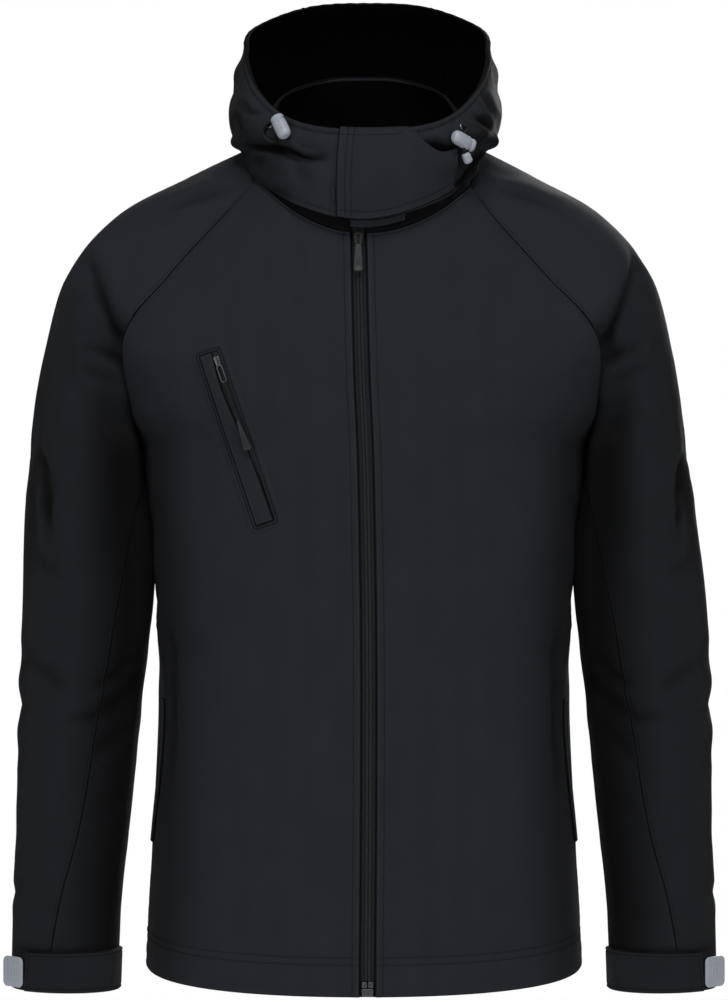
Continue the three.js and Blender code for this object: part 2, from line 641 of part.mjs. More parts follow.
// Small hard parts are drawn flat, x across and y up, and set on a surface.
function setOn(geometry, point, normal, turn = 0) {
  const across = unit(cross([0, 0, 1], normal));
  const up = cross(normal, across);
  const basis = new THREE.Matrix4().makeBasis(
    new THREE.Vector3(...across),
    new THREE.Vector3(...up),
    new THREE.Vector3(...normal),
  );
  const spin = new THREE.Matrix4().makeRotationZ(THREE.MathUtils.degToRad(turn));
  return geometry.applyMatrix4(spin).applyMatrix4(basis).translate(...point);
}

// A flat plate with rounded corners, its underside on z = 0. wide and slim: its widths at the
// top and at the bottom.
function plate({ wide, slim = wide, tall, thick, corner, hole }) {
  const outline = (w, v, h, r) => {
    const path = new THREE.Shape();
    path.moveTo(-v / 2 + r, -h / 2);
    path.lineTo(v / 2 - r, -h / 2);
    path.quadraticCurveTo(v / 2, -h / 2, v / 2, -h / 2 + r);
    path.lineTo(w / 2, h / 2 - r);
    path.quadraticCurveTo(w / 2, h / 2, w / 2 - r, h / 2);
    path.lineTo(-w / 2 + r, h / 2);
    path.quadraticCurveTo(-w / 2, h / 2, -w / 2, h / 2 - r);
    path.lineTo(-v / 2, -h / 2 + r);
    path.quadraticCurveTo(-v / 2, -h / 2, -v / 2 + r, -h / 2);
    return path;
  };
  const shape = outline(wide, slim, tall, corner);
  if (hole) shape.holes.push(outline(hole.wide, hole.wide, hole.tall, hole.corner));
  return new THREE.ExtrudeGeometry(shape, { depth: thick, bevelEnabled: false, curveSegments: 4 });
}

// Solids joined into one
const joined = (...parts) =>
  geometryOf(parts.map(solidOf).reduce((sum, next) => sum.add(next)));

// The main slider, its hanging pull, and the box at the foot of the zip
const PULL = { bail: 11, tall: 25, wide: 6.2, low: 8.4, thick: 2.4 };

function zipSlider() {
  const foot = plate({ wide: 9.6, slim: 7.2, tall: 13, thick: 2, corner: 2 });
  const post = plate({ wide: 2.4, tall: 8, thick: 1.8, corner: 0.5 }).translate(0, 0, 1.5);
  return joined(foot, post);
}

// The pull hangs from its pin, which is at the origin of the pull.
function zipPull() {
  const link = plate({
    ...{ wide: 5, tall: PULL.bail, thick: 1.2, corner: 1.2 },
    hole: { wide: 3.2, tall: PULL.bail - 2.4, corner: 0.6 },
  }).translate(0, -PULL.bail / 2 + 1, -0.6);
  const tab = plate({
    ...{ wide: PULL.wide, slim: PULL.low, tall: PULL.tall, thick: PULL.thick, corner: 2.4 },
  }).translate(0, -PULL.bail - PULL.tall / 2 + 1.5, -PULL.thick / 2);
  return joined(link, tab);
}

const onZip = (at, lift) => plus(zipPoint(at, zipX(at)), zipNormal(at, zipX(at)), lift);

// Chest pocket on the wearer's right. top and foot: the ends of its middle line, x and z seen
// from the front. The welt leaves a slit for the zip along its left side, seen from the front.
const CHEST = { top: [-134.7, -174.6], foot: [-85, -321.8], width: 17 };
const CHEST_SLIT = [
  { at: 0, gap: 5 },
  { at: 0.22, gap: 6.6 },
  { at: 0.45, gap: 3.4 },
  { at: 0.65, gap: 1.5 },
  { at: 1, gap: 0.6 },
];

// The front at a place seen from the front, as [at, across from the centre]
function frontAt(x, z) {
  return seenAt((at, across) => frontPoint(at, across), [x, z], [1 + (z + 262) / -220 * -1, x]);
}

function chestPoint(along, across) {
  const [x0, z0] = CHEST.top;
  const [x1, z1] = CHEST.foot;
  const long = Math.hypot(x1 - x0, z1 - z0);
  const [sideX, sideZ] = [-(z1 - z0) / long, (x1 - x0) / long];
  return frontAt(mix(x0, x1, along) + sideX * across, mix(z0, z1, along) + sideZ * across);
}
const onChest = (along, across, lift) => {
  const [at, x] = chestPoint(along, across);
  return plus(frontPoint(at, x), zipNormal(at, x), lift);
};
const chestNormal = (along, across) => zipNormal(...chestPoint(along, across));

function chestWelt() {
  const across = (along, k) =>
    mix(-CHEST.width / 2, CHEST.width / 2 - row(CHEST_SLIT, along).gap, k);
  return panel(
    spaced(8),
    spaced(2),
    (along, k) => onChest(along, across(along, k), 0),
    (along, k) => chestNormal(along, across(along, k)),
    { level: 2.4, thick: 1.8 },
  );
}

// Its zip shows in the slit: a strip with the coil and tape in one
function chestZip() {
  const across = (along, k) => CHEST.width / 2 - row(CHEST_SLIT, along).gap * (1 - k);
  return panel(
    spaced(8, 0.01, 0.66),
    [0.06, 1],
    (along, k) => onChest(along, across(along, k), 0),
    (along, k) => chestNormal(along, across(along, k)),
    { level: 1.2, thick: 0.8 },
  );
}

const CHEST_PULL_AT = 0.075; // along the pocket
const CHEST_PULL = { ring: 16, cord: 38, tab: 27, thick: 2.6 };

function chestSlider() {
  return plate({ wide: 5.4, tall: 9, thick: 1.8, corner: 1.6 });
}

// A wire link, a moulded cord and a rubber end, in one piece
function chestPull() {
  const { ring, cord, tab, thick } = CHEST_PULL;
  const link = plate({
    ...{ wide: 5.4, tall: ring, thick: 1.1, corner: 2.2 },
    hole: { wide: 3.2, tall: ring - 2.4, corner: 1.4 },
  }).translate(0, -ring / 2 + 1, -0.5);
  const stem = plate({ wide: 1.6, tall: cord, thick: 1.6, corner: 0.4 });
  const end = plate({ wide: 2.6, slim: 7.6, tall: tab, thick, corner: 1 });
  return joined(
    link,
    stem.translate(0, -ring - cord / 2 + 2.6, -0.7),
    end.translate(0, -ring - cord - tab / 2 + 4, -0.9),
  );
}

// Hand pocket welts, along the side seams on the back panel's edge
const HAND_WELT = { low: 0.265, high: 0.555, width: 0.05 };

function handWelt(side) {
  const rows = [HAND_WELT.low, 0.32, 0.37, 0.42, 0.47, 0.52, HAND_WELT.high];
  const around = (at, k) => seamAround(at) + mix(0.004, HAND_WELT.width, k);
  return panel(
    rows,
    spaced(2),
    (at, k) => mirror(bodyPoint(at, around(at, k), side), side),
    (at, k) => mirror(bodyNormal(at, around(at, k), side), side),
    { level: 2.3, thick: 1.8 },
  );
}

// The moulded grey end of a cuff tab runs straight on where the sleeve turns away.
const CUFF_END = { long: 24, tall: 27, thick: 2.6, corner: 5 };

function cuffEnd(side) {
  const at = 1.978;
  const place = (u) => mirror(sleevePoint(at, upperAround(at, u), side), side);
  const away = (u) => mirror(sleeveNormal(at, upperAround(at, u), side), side);
  const here = CUFF_TAB.end;
  const along = unit(minus(place(here + 0.02), place(here - 0.02)));
  const point = plus(plus(place(here), along, CUFF_END.long / 2 + 1), away(here), 1);
  const shape = plate({ wide: CUFF_END.long, tall: CUFF_END.tall, ...CUFF_END });
  return setOn(shape, point, unit(plus(away(here), along, 0.08)));
}

// Hood hardware. where: x and z seen from the front; turn: degrees anticlockwise.
const EYELETS = { left: [86.8, 24], right: [-82, 26.5] };
const EYELET = { outer: 4.4, inner: 2.2, thick: 1.2 };
const LOCKS = {
  left: { where: [83.6, 11], turn: -110, lift: 4.1 },
  right: { where: [-69.7, 21], turn: 35, lift: 0.5 },
};
const LOCK_PROFILE = [
  { y: -12, r: 0 },
  { y: -12, r: 3.6 },
  { y: -10.6, r: 5.4 },
  { y: -8, r: 6.3 },
  { y: 5.6, r: 6.3 },
  { y: 6.4, r: 5 },
  { y: 7.6, r: 5 },
  { y: 8.2, r: 6 },
  { y: 10.8, r: 6 },
  { y: 12, r: 4.8 },
  { y: 12, r: 0 },
];

const hoodAt = ([x, z]) =>
  seenAt(hoodPoint, [x, z], [THREE.MathUtils.radToDeg(Math.atan2(x, 85)), 0.85]);
const onHood = (where, lift) => {
  const [angle, up] = hoodAt(where);
  const base = hoodPoint(angle, up);
  const sunk = foldDepth(HOOD_FOLDS[base[0] < 0 ? "right" : "left"], base);
  return plus(base, hoodNormal(angle, up), lift - sunk);
};
const hoodFacing = (where) => hoodNormal(...hoodAt(where));

function eyelet(name) {
  const ring = new THREE.Shape().absarc(0, 0, EYELET.outer, 0, 2 * Math.PI);
  ring.holes.push(new THREE.Path().absarc(0, 0, EYELET.inner, 0, 2 * Math.PI));
  const shape = new THREE.ExtrudeGeometry(ring, {
    ...{ depth: EYELET.thick, bevelEnabled: false, curveSegments: 10 },
  });
  return setOn(shape, onHood(EYELETS[name], 0.3), hoodFacing(EYELETS[name]));
}

const LOCK_FLAT = 0.8; // its height over its width

function onLock(name, geometry) {
  const { where, turn, lift } = LOCKS[name];
  return setOn(geometry, onHood(where, lift + 6.3 * LOCK_FLAT), hoodFacing(where), turn);
}

function cordLock(name) {
  const profile = LOCK_PROFILE.map(({ y, r }) => new THREE.Vector2(r, y));
  return onLock(name, new THREE.LatheGeometry(profile, 16).scale(1, 1, LOCK_FLAT));
}

// Elastic cords, by places on the hood and how far they stand off it, or by places in the
// frame of a cord lock: across it, along it to its plunger, and off the hood.
const CORD = 3.2;
const CORDS = {
  cord_left: [
    { where: [86.8, 24], lift: 1.6 },
    { where: [86.9, 23.6], lift: 3.2 },
    { where: [87, 21.6], lift: 6 },
    { lock: "left", spot: [-6.8, -1, 0] },
  ],
  cord_end_left: [
    { lock: "left", spot: [7.6, 3.1, 0] },
    { lock: "left", spot: [8.3, 4, -0.2] },
    { lock: "left", spot: [8.9, 5, -0.4] },
  ],
  cord_right: [
    { where: [-82, 26.5], lift: 1.6 },
    { where: [-82.3, 26.2], lift: 3.2 },
    { where: [-84.6, 23.4], lift: 4.8 },
    { where: [-86.5, 17.5], lift: 4.6 },
    { where: [-83, 11.8], lift: 4.6 },
    { where: [-78, 11.6], lift: 5 },
    { lock: "right", spot: [-7.6, -2.7, 0] },
  ],
};
const CORD_END = { lock: "left", spot: [11.9, 9.2, -1], turn: 137 };

// A round cord through points, with flat ends
function cordTube(points, radius) {
  const curve = new THREE.CatmullRomCurve3(points.map((p) => new THREE.Vector3(...p)));
  const [lengths, sides] = [points.length * 5, 8];
  const tube = new THREE.TubeGeometry(curve, lengths, radius, sides);
  const bare = new THREE.BufferGeometry().setAttribute("position", tube.attributes.position);
  const merged = mergeVertices(bare.setIndex(tube.index), 1e-4);
  const spots = Array.from(merged.attributes.position.array);
  const faces = Array.from(merged.index.array);
  const nearest = (end) => {
    const ring = [];
    const first = end ? lengths * (sides + 1) : 0;
    for (let k = 0; k < sides; k++) {
      const at = [0, 1, 2].map((i) => tube.attributes.position.array[(first + k) * 3 + i]);
      ring.push(spots.findIndex((_, i) => i % 3 === 0 &&
        Math.hypot(spots[i] - at[0], spots[i + 1] - at[1], spots[i + 2] - at[2]) < 1e-3) / 3);
    }
    return ring;
  };
  for (const end of [0, 1]) {
    const ring = nearest(end);
    const centre = spots.length / 3;
    spots.push(...curve.getPoint(end).toArray());
    ring.forEach((spot, k) => {
      const next = ring[(k + 1) % sides];
      faces.push(...(end ? [spot, centre, next] : [spot, next, centre]));
    });
  }
  return new THREE.BufferGeometry()
    .setAttribute("position", new THREE.BufferAttribute(new Float32Array(spots), 3))
    .setIndex(faces);
}

const spotOf = ({ where, lift, lock, spot }) => {
  if (where) return onHood(where, lift);
  const mark = new THREE.BufferGeometry();
  mark.setAttribute("position", new THREE.BufferAttribute(new Float32Array(spot), 3));
  return Array.from(onLock(lock, mark).attributes.position.array);
};
const cord = (name) => cordTube(CORDS[name].map(spotOf), CORD / 2);

function cordEnd() {
  const { lock, spot, turn } = CORD_END;
  const profile = [[0, -5], [3, -5], [3.9, -3.6], [3.9, 2.6], [3, 4.4], [0, 4.4]];
  const shape = new THREE.LatheGeometry(profile.map((p) => new THREE.Vector2(...p)), 12);
  const spin = new THREE.Matrix4().makeRotationZ(THREE.MathUtils.degToRad(turn));
  return onLock(lock, shape.applyMatrix4(spin).translate(...spot));
}

addNode("front_left", frontPanel(1), "softshell");
addNode("front_right", frontPanel(-1), "softshell");
addNode("back", backPanel(), "softshell");
addNode("upper_sleeve_left", upperSleeve(1), "softshell");
addNode("upper_sleeve_right", upperSleeve(-1), "softshell");
addNode("under_sleeve_left", underSleeve(1), "softshell");
addNode("under_sleeve_right", underSleeve(-1), "softshell");
addNode("cuff_tab_left", cuffTab(1), "softshell");
addNode("cuff_tab_right", cuffTab(-1), "softshell");
addNode("collar", collar(), "softshell");
addNode("hood_side_left", hoodSide(1, "left"), "softshell");
addNode("hood_side_right", hoodSide(-1, "right"), "softshell");
addNode("hood_centre", hoodCentre(), "softshell");
addNode("chin_tab", chinTab(), "softshell");
addNode("chin_underlap", chinUnderlap(), "softshell");
addNode("label_tab", labelTab(), "tape");
addNode("zip_tape_left", zipTape(1), "tape");
addNode("zip_tape_right", zipTape(-1), "tape");
addNode("zip_coil", zipCoil(), "coil");
addNode("zip_slider", setOn(zipSlider(), onZip(SLIDER_AT, -0.1), zipNormal(SLIDER_AT, zipX(SLIDER_AT))), "hardware");
addNode("zip_pull", setOn(zipPull(), onZip(1.985, 4.6), zipNormal(1.92, zipX(1.92))), "hardware");
addNode("zip_box", setOn(plate({ wide: 10.6, tall: 13, thick: 4, corner: 1.2 }), onZip(0.0165, -2.2), zipNormal(0, zipX(0))), "steel");
addNode("chest_welt", chestWelt(), "softshell");
addNode("chest_zip", chestZip(), "coil");
addNode("chest_slider", setOn(chestSlider(), onChest(0.06, 5.6, 1.5), chestNormal(0.06, 5.6), 18.7), "hardware");
addNode("chest_pull", setOn(chestPull(), onChest(0.09, 6, 4.6), chestNormal(0.2, 6), 18.7), "hardware");
addNode("hand_welt_left", handWelt(1), "softshell");
addNode("hand_welt_right", handWelt(-1), "softshell");
addNode("cuff_end_left", cuffEnd(1), "grey");
addNode("cuff_end_right", cuffEnd(-1), "grey");
addNode("eyelet_left", eyelet("left"), "hardware");
addNode("eyelet_right", eyelet("right"), "hardware");
addNode("cord_lock_left", cordLock("left"), "grey");
addNode("cord_lock_right", cordLock("right"), "grey");
addNode("cord_left", cord("cord_left"), "cord");
addNode("cord_end_left", cord("cord_end_left"), "cord");
addNode("cord_right", cord("cord_right"), "cord");
addNode("cord_bead_left", cordEnd(), "grey");

export default jacket;
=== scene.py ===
# Looks of a hooded softshell jacket, filled out as if worn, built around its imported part.
# Lengths are millimetres until a mesh is made. +Z is up and the front faces -Y. "Left" and
# "right" are the wearer's, so left is +X. The form's tables repeat those of the part's source.
import math

import bpy
import numpy as np
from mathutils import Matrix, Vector


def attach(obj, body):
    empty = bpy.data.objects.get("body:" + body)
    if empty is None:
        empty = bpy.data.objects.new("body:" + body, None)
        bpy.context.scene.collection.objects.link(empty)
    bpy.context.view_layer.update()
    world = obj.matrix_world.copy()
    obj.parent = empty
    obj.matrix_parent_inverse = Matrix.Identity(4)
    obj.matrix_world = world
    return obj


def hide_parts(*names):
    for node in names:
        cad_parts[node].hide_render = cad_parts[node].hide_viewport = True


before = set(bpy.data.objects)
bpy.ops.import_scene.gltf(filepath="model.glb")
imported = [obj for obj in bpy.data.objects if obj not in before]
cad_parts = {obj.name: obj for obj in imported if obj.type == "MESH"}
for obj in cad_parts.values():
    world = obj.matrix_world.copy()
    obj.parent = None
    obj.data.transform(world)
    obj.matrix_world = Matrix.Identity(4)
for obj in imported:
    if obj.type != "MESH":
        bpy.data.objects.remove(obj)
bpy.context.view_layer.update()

MM = 0.001

# Camera: level, in front of the chest
CAMERA = {"distance": 3000, "height": -301.5, "lens": 120}


def make_camera():
    data = bpy.data.cameras.new("camera")
    data.lens = CAMERA["lens"]
    data.sensor_width = 36
    camera = bpy.data.objects.new("camera", data)
    camera.location = (0, -CAMERA["distance"] * MM, CAMERA["height"] * MM)
    camera.rotation_euler = (math.pi / 2, 0, 0)
    bpy.context.scene.collection.objects.link(camera)
    bpy.context.scene.camera = camera


make_camera()

# Driving dimensions
CLOTH = 2
ROUND = 0.6
ZIP_GAP = 14
TAPE_WIDTH = 15
HOOD_SHIFT = 3


def table(names, *rows):
    """Columns by name, each an array with a line for every row."""
    return {
        name: np.array([np.atleast_1d(line[i]) for line in rows], float)
        for i, name in enumerate(names.split())
    }


# Body sections. at: 0 hem, 1 armpit, 2 neck. front and back: [y, z] on the centre lines.
# side: the widest point. open: how far a section's end swings in towards the centre.
# lean: how much of the height from there to the centre line is gained at the side.
BODY = table(
    "at front side back open lean",
    (0, (-130, -730), (196, 0, -717), (120, -726), 0, 0.75),
    (0.14, (-131, -668), (193, 0, -660), (119, -664), 0, 0.6),
    (0.4, (-128, -551), (187, 0, -548), (112, -549), 0, 0.3),
    (0.58, (-125, -468), (184.5, 0, -466), (110, -467), 0, 0),
    (0.78, (-126, -376), (188, -2, -374), (118, -375), 0, 0),
    (1, (-127, -262), (198, -6, -255), (128, -262), 0, 0),
    (1.25, (-125, -200), (208, -80, -160), (129, -185), 0.16, 0.18),
    (1.5, (-120, -150), (166, -82, -106), (121, -115), 0.26, 0.29),
    (1.75, (-112, -107), (126, -69, -60), (105, -45), 0.2, 0.22),
    (2, (-104, -69), (94, -52, -21), (88, 18), 0.03, 0.03),
)
# Where the side seam lies round the section: 1 is the widest point, less is further forward.
SIDE_SEAM = table(
    "at around",
    (0, 1), (0.18, 0.95), (0.3, 0.87), (0.42, 0.81), (0.55, 0.8), (0.64, 0.88), (0.72, 0.97), (1, 1),
)
# Sleeve sections. at: 0 neck, 1 armpit, 2 cuff. front and back: the raglan seams, which meet
# under the arm. ridge: the outer line of the arm. lift, bulge, reach, fall: how the section
# swells between them. skew, shift: how the two sleeves differ. EVEN is no fall, ALIKE no skew.
EVEN = (0, 0)
ALIKE = (0, 0, 0)
SLEEVE = table(
    "at front ridge back lift bulge reach fall skew shift",
    (0, (94, -52, -21), (104, 12, 16), (92, 58, 22), 0.33,
     (-19, -15), (19, 15), (9, -2), (0, 0, -3.5), 0),
    (0.25, (126, -69, -60), (158, 10, -11), (128, 82, -28), 0.45,
     (-8, 0), (40, 38), (6, 4), (-6, -3, 0), 2),
    (0.5, (166, -82, -106), (219, 6, -46), (163, 100, -84), 0.5,
     (-8, -2), (48, 52), (4, 4), (-6, -3, 0), 4),
    (0.75, (208, -80, -160), (264, 2, -103), (192, 92, -150), 0.42,
     (8, 6), (60, 62), EVEN, (-3, -1.5, 0), 4.5),
    (0.9, (206, -46, -222), (282.5, 0, -172), (199, 46, -218), 0.22, (52, 50), (90, 92), EVEN, ALIKE, 5),
    (1, (198, -6, -255), (291.5, 0, -228), (198, -6, -255), 0, (106, 116), (116, 122), EVEN, ALIKE, 5.5),
    (1.15, (196, -2, -325), (301, 0, -312), (196, -2, -325), 0, (100, 106), (104, 107), EVEN, ALIKE, 3.5),
    (1.35, (192, -4, -400), (307, -4, -395), (192, -4, -400), 0, (86, 90), (88, 91), EVEN, ALIKE, -0.5),
    (1.55, (200, -8, -490), (310.5, -8, -490), (200, -8, -490), 0, (77, 79), (78, 80), EVEN, ALIKE, -1),
    (1.75, (209, -14, -585), (311, -16, -588), (209, -14, -585), 0, (69, 69), (70, 70), EVEN, ALIKE, 0),
    (1.9, (217, -18, -662), (313.5, -20, -664), (217, -18, -662), 0, (62, 62), (62, 62), EVEN, ALIKE, 0),
    (2, (220, -20, -737), (315, -22, -735), (220, -20, -737), 0, (56, 56), (56, 56), EVEN, ALIKE, 0),
)
# Where the under sleeve meets the upper sleeve, round the front and round the back half.
UNDER_SEAM = table(
    "at front back",
    (1, 0, 0), (1.15, 0.18, 0.2), (1.35, 0.31, 0.3), (1.55, 0.36, 0.35),
    (1.75, 0.43, 0.4), (1.9, 0.53, 0.42), (2, 0.6, 0.45),
)
ZIP_LINE = table("at x", (0, 3), (0.7, 4), (1.3, -2), (2, -5))
# Top edge of the stand collar, by the angle round the neck from the centre front.
COLLAR_TOP = table(
    "at edge",
    (-45, (92, 20)), (0, (91, 6)), (45, (92, 20)), (90, (82, 50)),
    (125, (80, 74)), (155, (75, 87)), (180, (71, 89)), (205, (75, 87)),
)
# Hood profiles by the angle round the neck: [radius, z] from the loose lower edge, down into
# the pouch behind the neck, out, and up to the rim of the face opening.
HOOD = table(
    "at hem inside bottom outside belly brow rim",
    (-30, (119, -45), (121, -35), (122.5, -24), (124.5, -11), (125, 3), (123, 16), (118, 28)),
    (0, (116, -60), (118, -48), (120, -36), (121.5, -22), (121.5, -7), (120, 8), (117, 20)),
    (30, (119, -45), (121, -35), (122.5, -24), (124.5, -11), (125, 3), (123, 16), (118, 28)),
    (60, (114, -14), (114.5, -7), (115, 1), (123, 11), (124.5, 28), (119, 46), (110, 60)),
    (90, (109, 22), (110.5, 18.5), (114, 16), (121.5, 23), (121, 48), (117, 77), (109, 100)),
    (120, (110, 30), (115, 26), (124, 22), (134, 42), (135, 75), (128, 107), (117, 134)),
    (150, (106, 22), (121, -10), (138, -54), (156, 6), (151, 78), (133, 128), (107, 157)),
    (180, (95, 12), (121, -48), (145, -92), (166, -14), (154, 78), (128, 134), (97, 161)),
    (210, (106, 22), (121, -10), (138, -54), (156, 6), (151, 78), (133, 128), (107, 157)),
)
HOOD_STEPS = ["hem", "inside", "bottom", "outside", "belly", "brow", "rim"]
HOOD_SEAM = {"hem": 157, "rim": 146}
CHIN_TAB = table(
    "at angle low high",
    (0, -11.6, 0.01, 1), (0.42, 10, 0.02, 1), (0.58, 18, 0.03, 0.99), (0.7, 24.5, 0.045, 0.78),
    (0.82, 31, 0.065, 0.64), (1, 41, 0.1, 0.6),
)
CHEST = {"top": (-134.7, -174.6), "foot": (-85, -321.8), "width": 17, "turn": 18.7}
CHEST_SLIT = table("at gap", (0, 5), (0.22, 6.6), (0.45, 3.4), (0.65, 1.5), (1, 0.6))


# Vector helpers on arrays whose last axis is x, y, z
def dot(a, b):
    return (a * b).sum(-1, keepdims=True)


def unit(a):
    return a / np.maximum(np.linalg.norm(a, axis=-1, keepdims=True), 1e-12)


def mix(a, b, t):
    return a + (b - a) * t


def stack(*parts):
    return np.stack(np.broadcast_arrays(*parts), axis=-1)


def smooth(t):
    t = np.clip(t, 0, 1)
    return t * t * (3 - 2 * t)


def mirror(points, side):
    return points * np.array([side, 1, 1])


def hermite(a, b, c, d, reach_before, reach_after, span, t):
    start = (c - a) / reach_before * span
    end = (d - b) / reach_after * span
    return (
        b * (2 * t**3 - 3 * t**2 + 1)
        + start * (t**3 - 2 * t**2 + t)
        + c * (3 * t**2 - 2 * t**3)
        + end * (t**3 - t**2)
    )


def row(rows, at):
    """A smooth curve through the rows of a table, every column at each of many positions."""
    at = np.asarray(at, float)
    places = rows["at"][:, 0]
    i = np.clip(np.searchsorted(places, at, side="left") - 1, 0, len(places) - 2)
    before, after = np.maximum(i - 1, 0), np.minimum(i + 2, len(places) - 1)
    span = (places[i + 1] - places[i])[..., None]
    reach_before = (places[i + 1] - places[before])[..., None]
    reach_after = (places[after] - places[i])[..., None]
    t = (at[..., None] - places[i][..., None]) / span
    return {
        name: hermite(c[before], c[i], c[i + 1], c[after], reach_before, reach_after, span, t)
        for name, c in rows.items()
        if name != "at"
    }


def bezier(p0, p1, p2, p3, t):
    s = 1 - t
    return s**3 * p0 + 3 * s * s * t * p1 + 3 * s * t * t * p2 + t**3 * p3


# Surfaces
def sleeve_point(at, around, side):
    """A sleeve as on the wearer's left. around: 0 front seam, 1 ridge, 2 back seam."""
    at, around = np.broadcast_arrays(np.asarray(at, float), np.asarray(around, float))
    r = row(SLEEVE, at)
    behind = (around > 1)[..., None]
    seam = np.where(behind, r["back"], r["front"] + side * r["skew"])
    ridge = r["ridge"] - side * r["shift"] * np.array([1, 0, 0])
    out = np.where(behind, 1, -1)
    half = lambda name: np.where(behind, r[name][..., 1:], r[name][..., :1])
    leave = np.concatenate(
        [
            mix(seam[..., :1], ridge[..., :1], r["lift"]),
            seam[..., 1:2] + out * half("bulge"),
            mix(seam[..., 2:], ridge[..., 2:], r["lift"]),
        ],
        -1,
    )
    arrive = ridge + np.concatenate([0 * out, out * half("reach"), -half("fall")], -1)
    return bezier(seam, leave, arrive, ridge, np.where(around > 1, 2 - around, around)[..., None])


def body_edge(at, behind, side):
    seam = sleeve_point(2 - at, np.where(behind, 2.0, 0.0), side)
    return np.where((at <= 1)[..., None], row(BODY, at)["side"], seam)


def body_point(at, around, side):
    """Half of the body, as on the left. around: 0 centre front, 1 side, 2 centre back."""
    at, around = np.broadcast_arrays(np.asarray(at, float), np.asarray(around, float))
    r = row(BODY, at)
    behind = around > 1
    y, z = np.moveaxis(np.where(behind[..., None], r["back"], r["front"]), -1, 0)
    edge = body_edge(at, behind, side)
    opened, lean = r["open"][..., 0], r["lean"][..., 0]
    arrive = stack(
        edge[..., 0] * (1 - opened),
        edge[..., 1] + ROUND * (y - edge[..., 1]),
        edge[..., 2] + lean * (z - edge[..., 2]),
    )
    swell = stack(ROUND * edge[..., 0], y, z)
    t = np.where(behind, 2 - around, around)[..., None]
    return bezier(stack(0 * y, y, z), swell, arrive, edge, t)


def around_for(x, at, side):
    """Around for a point of the front that is x away from the centre line."""
    at = np.asarray(at, float)
    return x / (3 * ROUND * body_edge(at, np.zeros(at.shape, bool), side)[..., 0])


def zip_x(at):
    return row(ZIP_LINE, at)["x"][..., 0]


def seam_around(at):
    return np.where(at < 1, row(SIDE_SEAM, np.minimum(at, 1))["around"][..., 0], 1.0)


def hood_point(angle, up):
    angle, up = np.broadcast_arrays(np.asarray(angle, float), np.asarray(up, float))
    side = np.where(angle < 0, -1, 1)
    r = row(HOOD, np.abs(angle))
    profile = np.stack([r[name] for name in HOOD_STEPS], axis=-2)
    last = len(HOOD_STEPS) - 1
    i = np.clip(np.ceil(up * last) - 1, 0, last - 1).astype(int)
    before, after = np.maximum(i - 1, 0), np.minimum(i + 2, last)
    pick = lambda k: np.take_along_axis(profile, k[..., None, None], axis=-2)[..., 0, :]
    t = (up * last - i)[..., None]
    place = hermite(
        pick(before), pick(i), pick(i + 1), pick(after),
        (i + 1 - before)[..., None], (after - i)[..., None], 1, t,
    )
    turn = np.radians(np.abs(angle))
    radius = place[..., 0]
    return stack(
        side * radius * np.sin(turn) + HOOD_SHIFT * up**2, -radius * np.cos(turn), place[..., 1]
    )


def normal_of(surface, a, b, low_a, high_a, low_b, high_b, outward):
    """The outward normal of a surface, from points a short way off inside its range."""
    step = 1e-3
    a0, a1 = np.maximum(a - step, low_a), np.minimum(a + step, high_a)
    b0, b1 = np.maximum(b - step, low_b), np.minimum(b + step, high_b)
    return outward * unit(
        np.cross(surface(a1, b) - surface(a0, b), surface(a, b1) - surface(a, b0))
    )


def body_normal(at, around, side):
    high, back = at > 1, around > 1
    return normal_of(
        lambda a, b: body_point(a, b, side), at, around,
        np.where(high, 1, 0), np.where(high, 2, 1),
        np.where(back, 1 + 1e-9, 0), np.where(back, 2, 1), -1,
    )


def sleeve_normal(at, around, side):
    return normal_of(lambda a, b: sleeve_point(a, b, side), at, around, 0, 2, 0, 2, 1)


def hood_normal(angle, up):
    up = np.clip(up, 0, 1)
    return normal_of(hood_point, angle, up, -180, 180, 0, 1, 1)


def raglan_normal(at, back, side):
    """The normal that a sleeve and the body share on their seam, straight down at the armpit."""
    body = body_normal(2 - at, np.full(at.shape, 1.001 if back else 0.999), side)
    both = unit(sleeve_normal(at, np.full(at.shape, 2.0 if back else 0.0), side) + body)
    return unit(mix(both, np.array([0.0, 0.0, -1.0]), smooth((at - 0.95) / 0.045)[..., None]))


def by_side(left, half):
    """What half gives for each side of the jacket, turned to lie on that side."""
    return np.where(np.asarray(left)[..., None], mirror(half(1), 1), mirror(half(-1), -1))


def front_point(at, x):
    """The front by its distance from the centre line, on either side of it."""
    at, x = np.broadcast_arrays(np.asarray(at, float), np.asarray(x, float))
    return by_side(x >= 0, lambda s: body_point(at, around_for(np.abs(x), at, s), s))


def front_normal(at, x):
    at, x = np.broadcast_arrays(np.asarray(at, float), np.asarray(x, float))
    return by_side(x >= 0, lambda s: body_normal(at, around_for(np.abs(x), at, s), s))


def seen_at(surface, x, z, a, b):
    """The parameters at which a surface passes x, z as seen from the front."""
    a, b, step = np.asarray(a, float), np.asarray(b, float), 1e-4
    for _ in range(20):
        here = surface(a, b)
        along_a = (surface(a + step, b) - here) / step
        along_b = (surface(a, b + step) - here) / step
        miss_x, miss_z = x - here[..., 0], z - here[..., 2]
        area = along_a[..., 0] * along_b[..., 2] - along_a[..., 2] * along_b[..., 0]
        a = a + (miss_x * along_b[..., 2] - miss_z * along_b[..., 0]) / area
        b = b + (along_a[..., 0] * miss_z - along_a[..., 2] * miss_x) / area
    return a, b


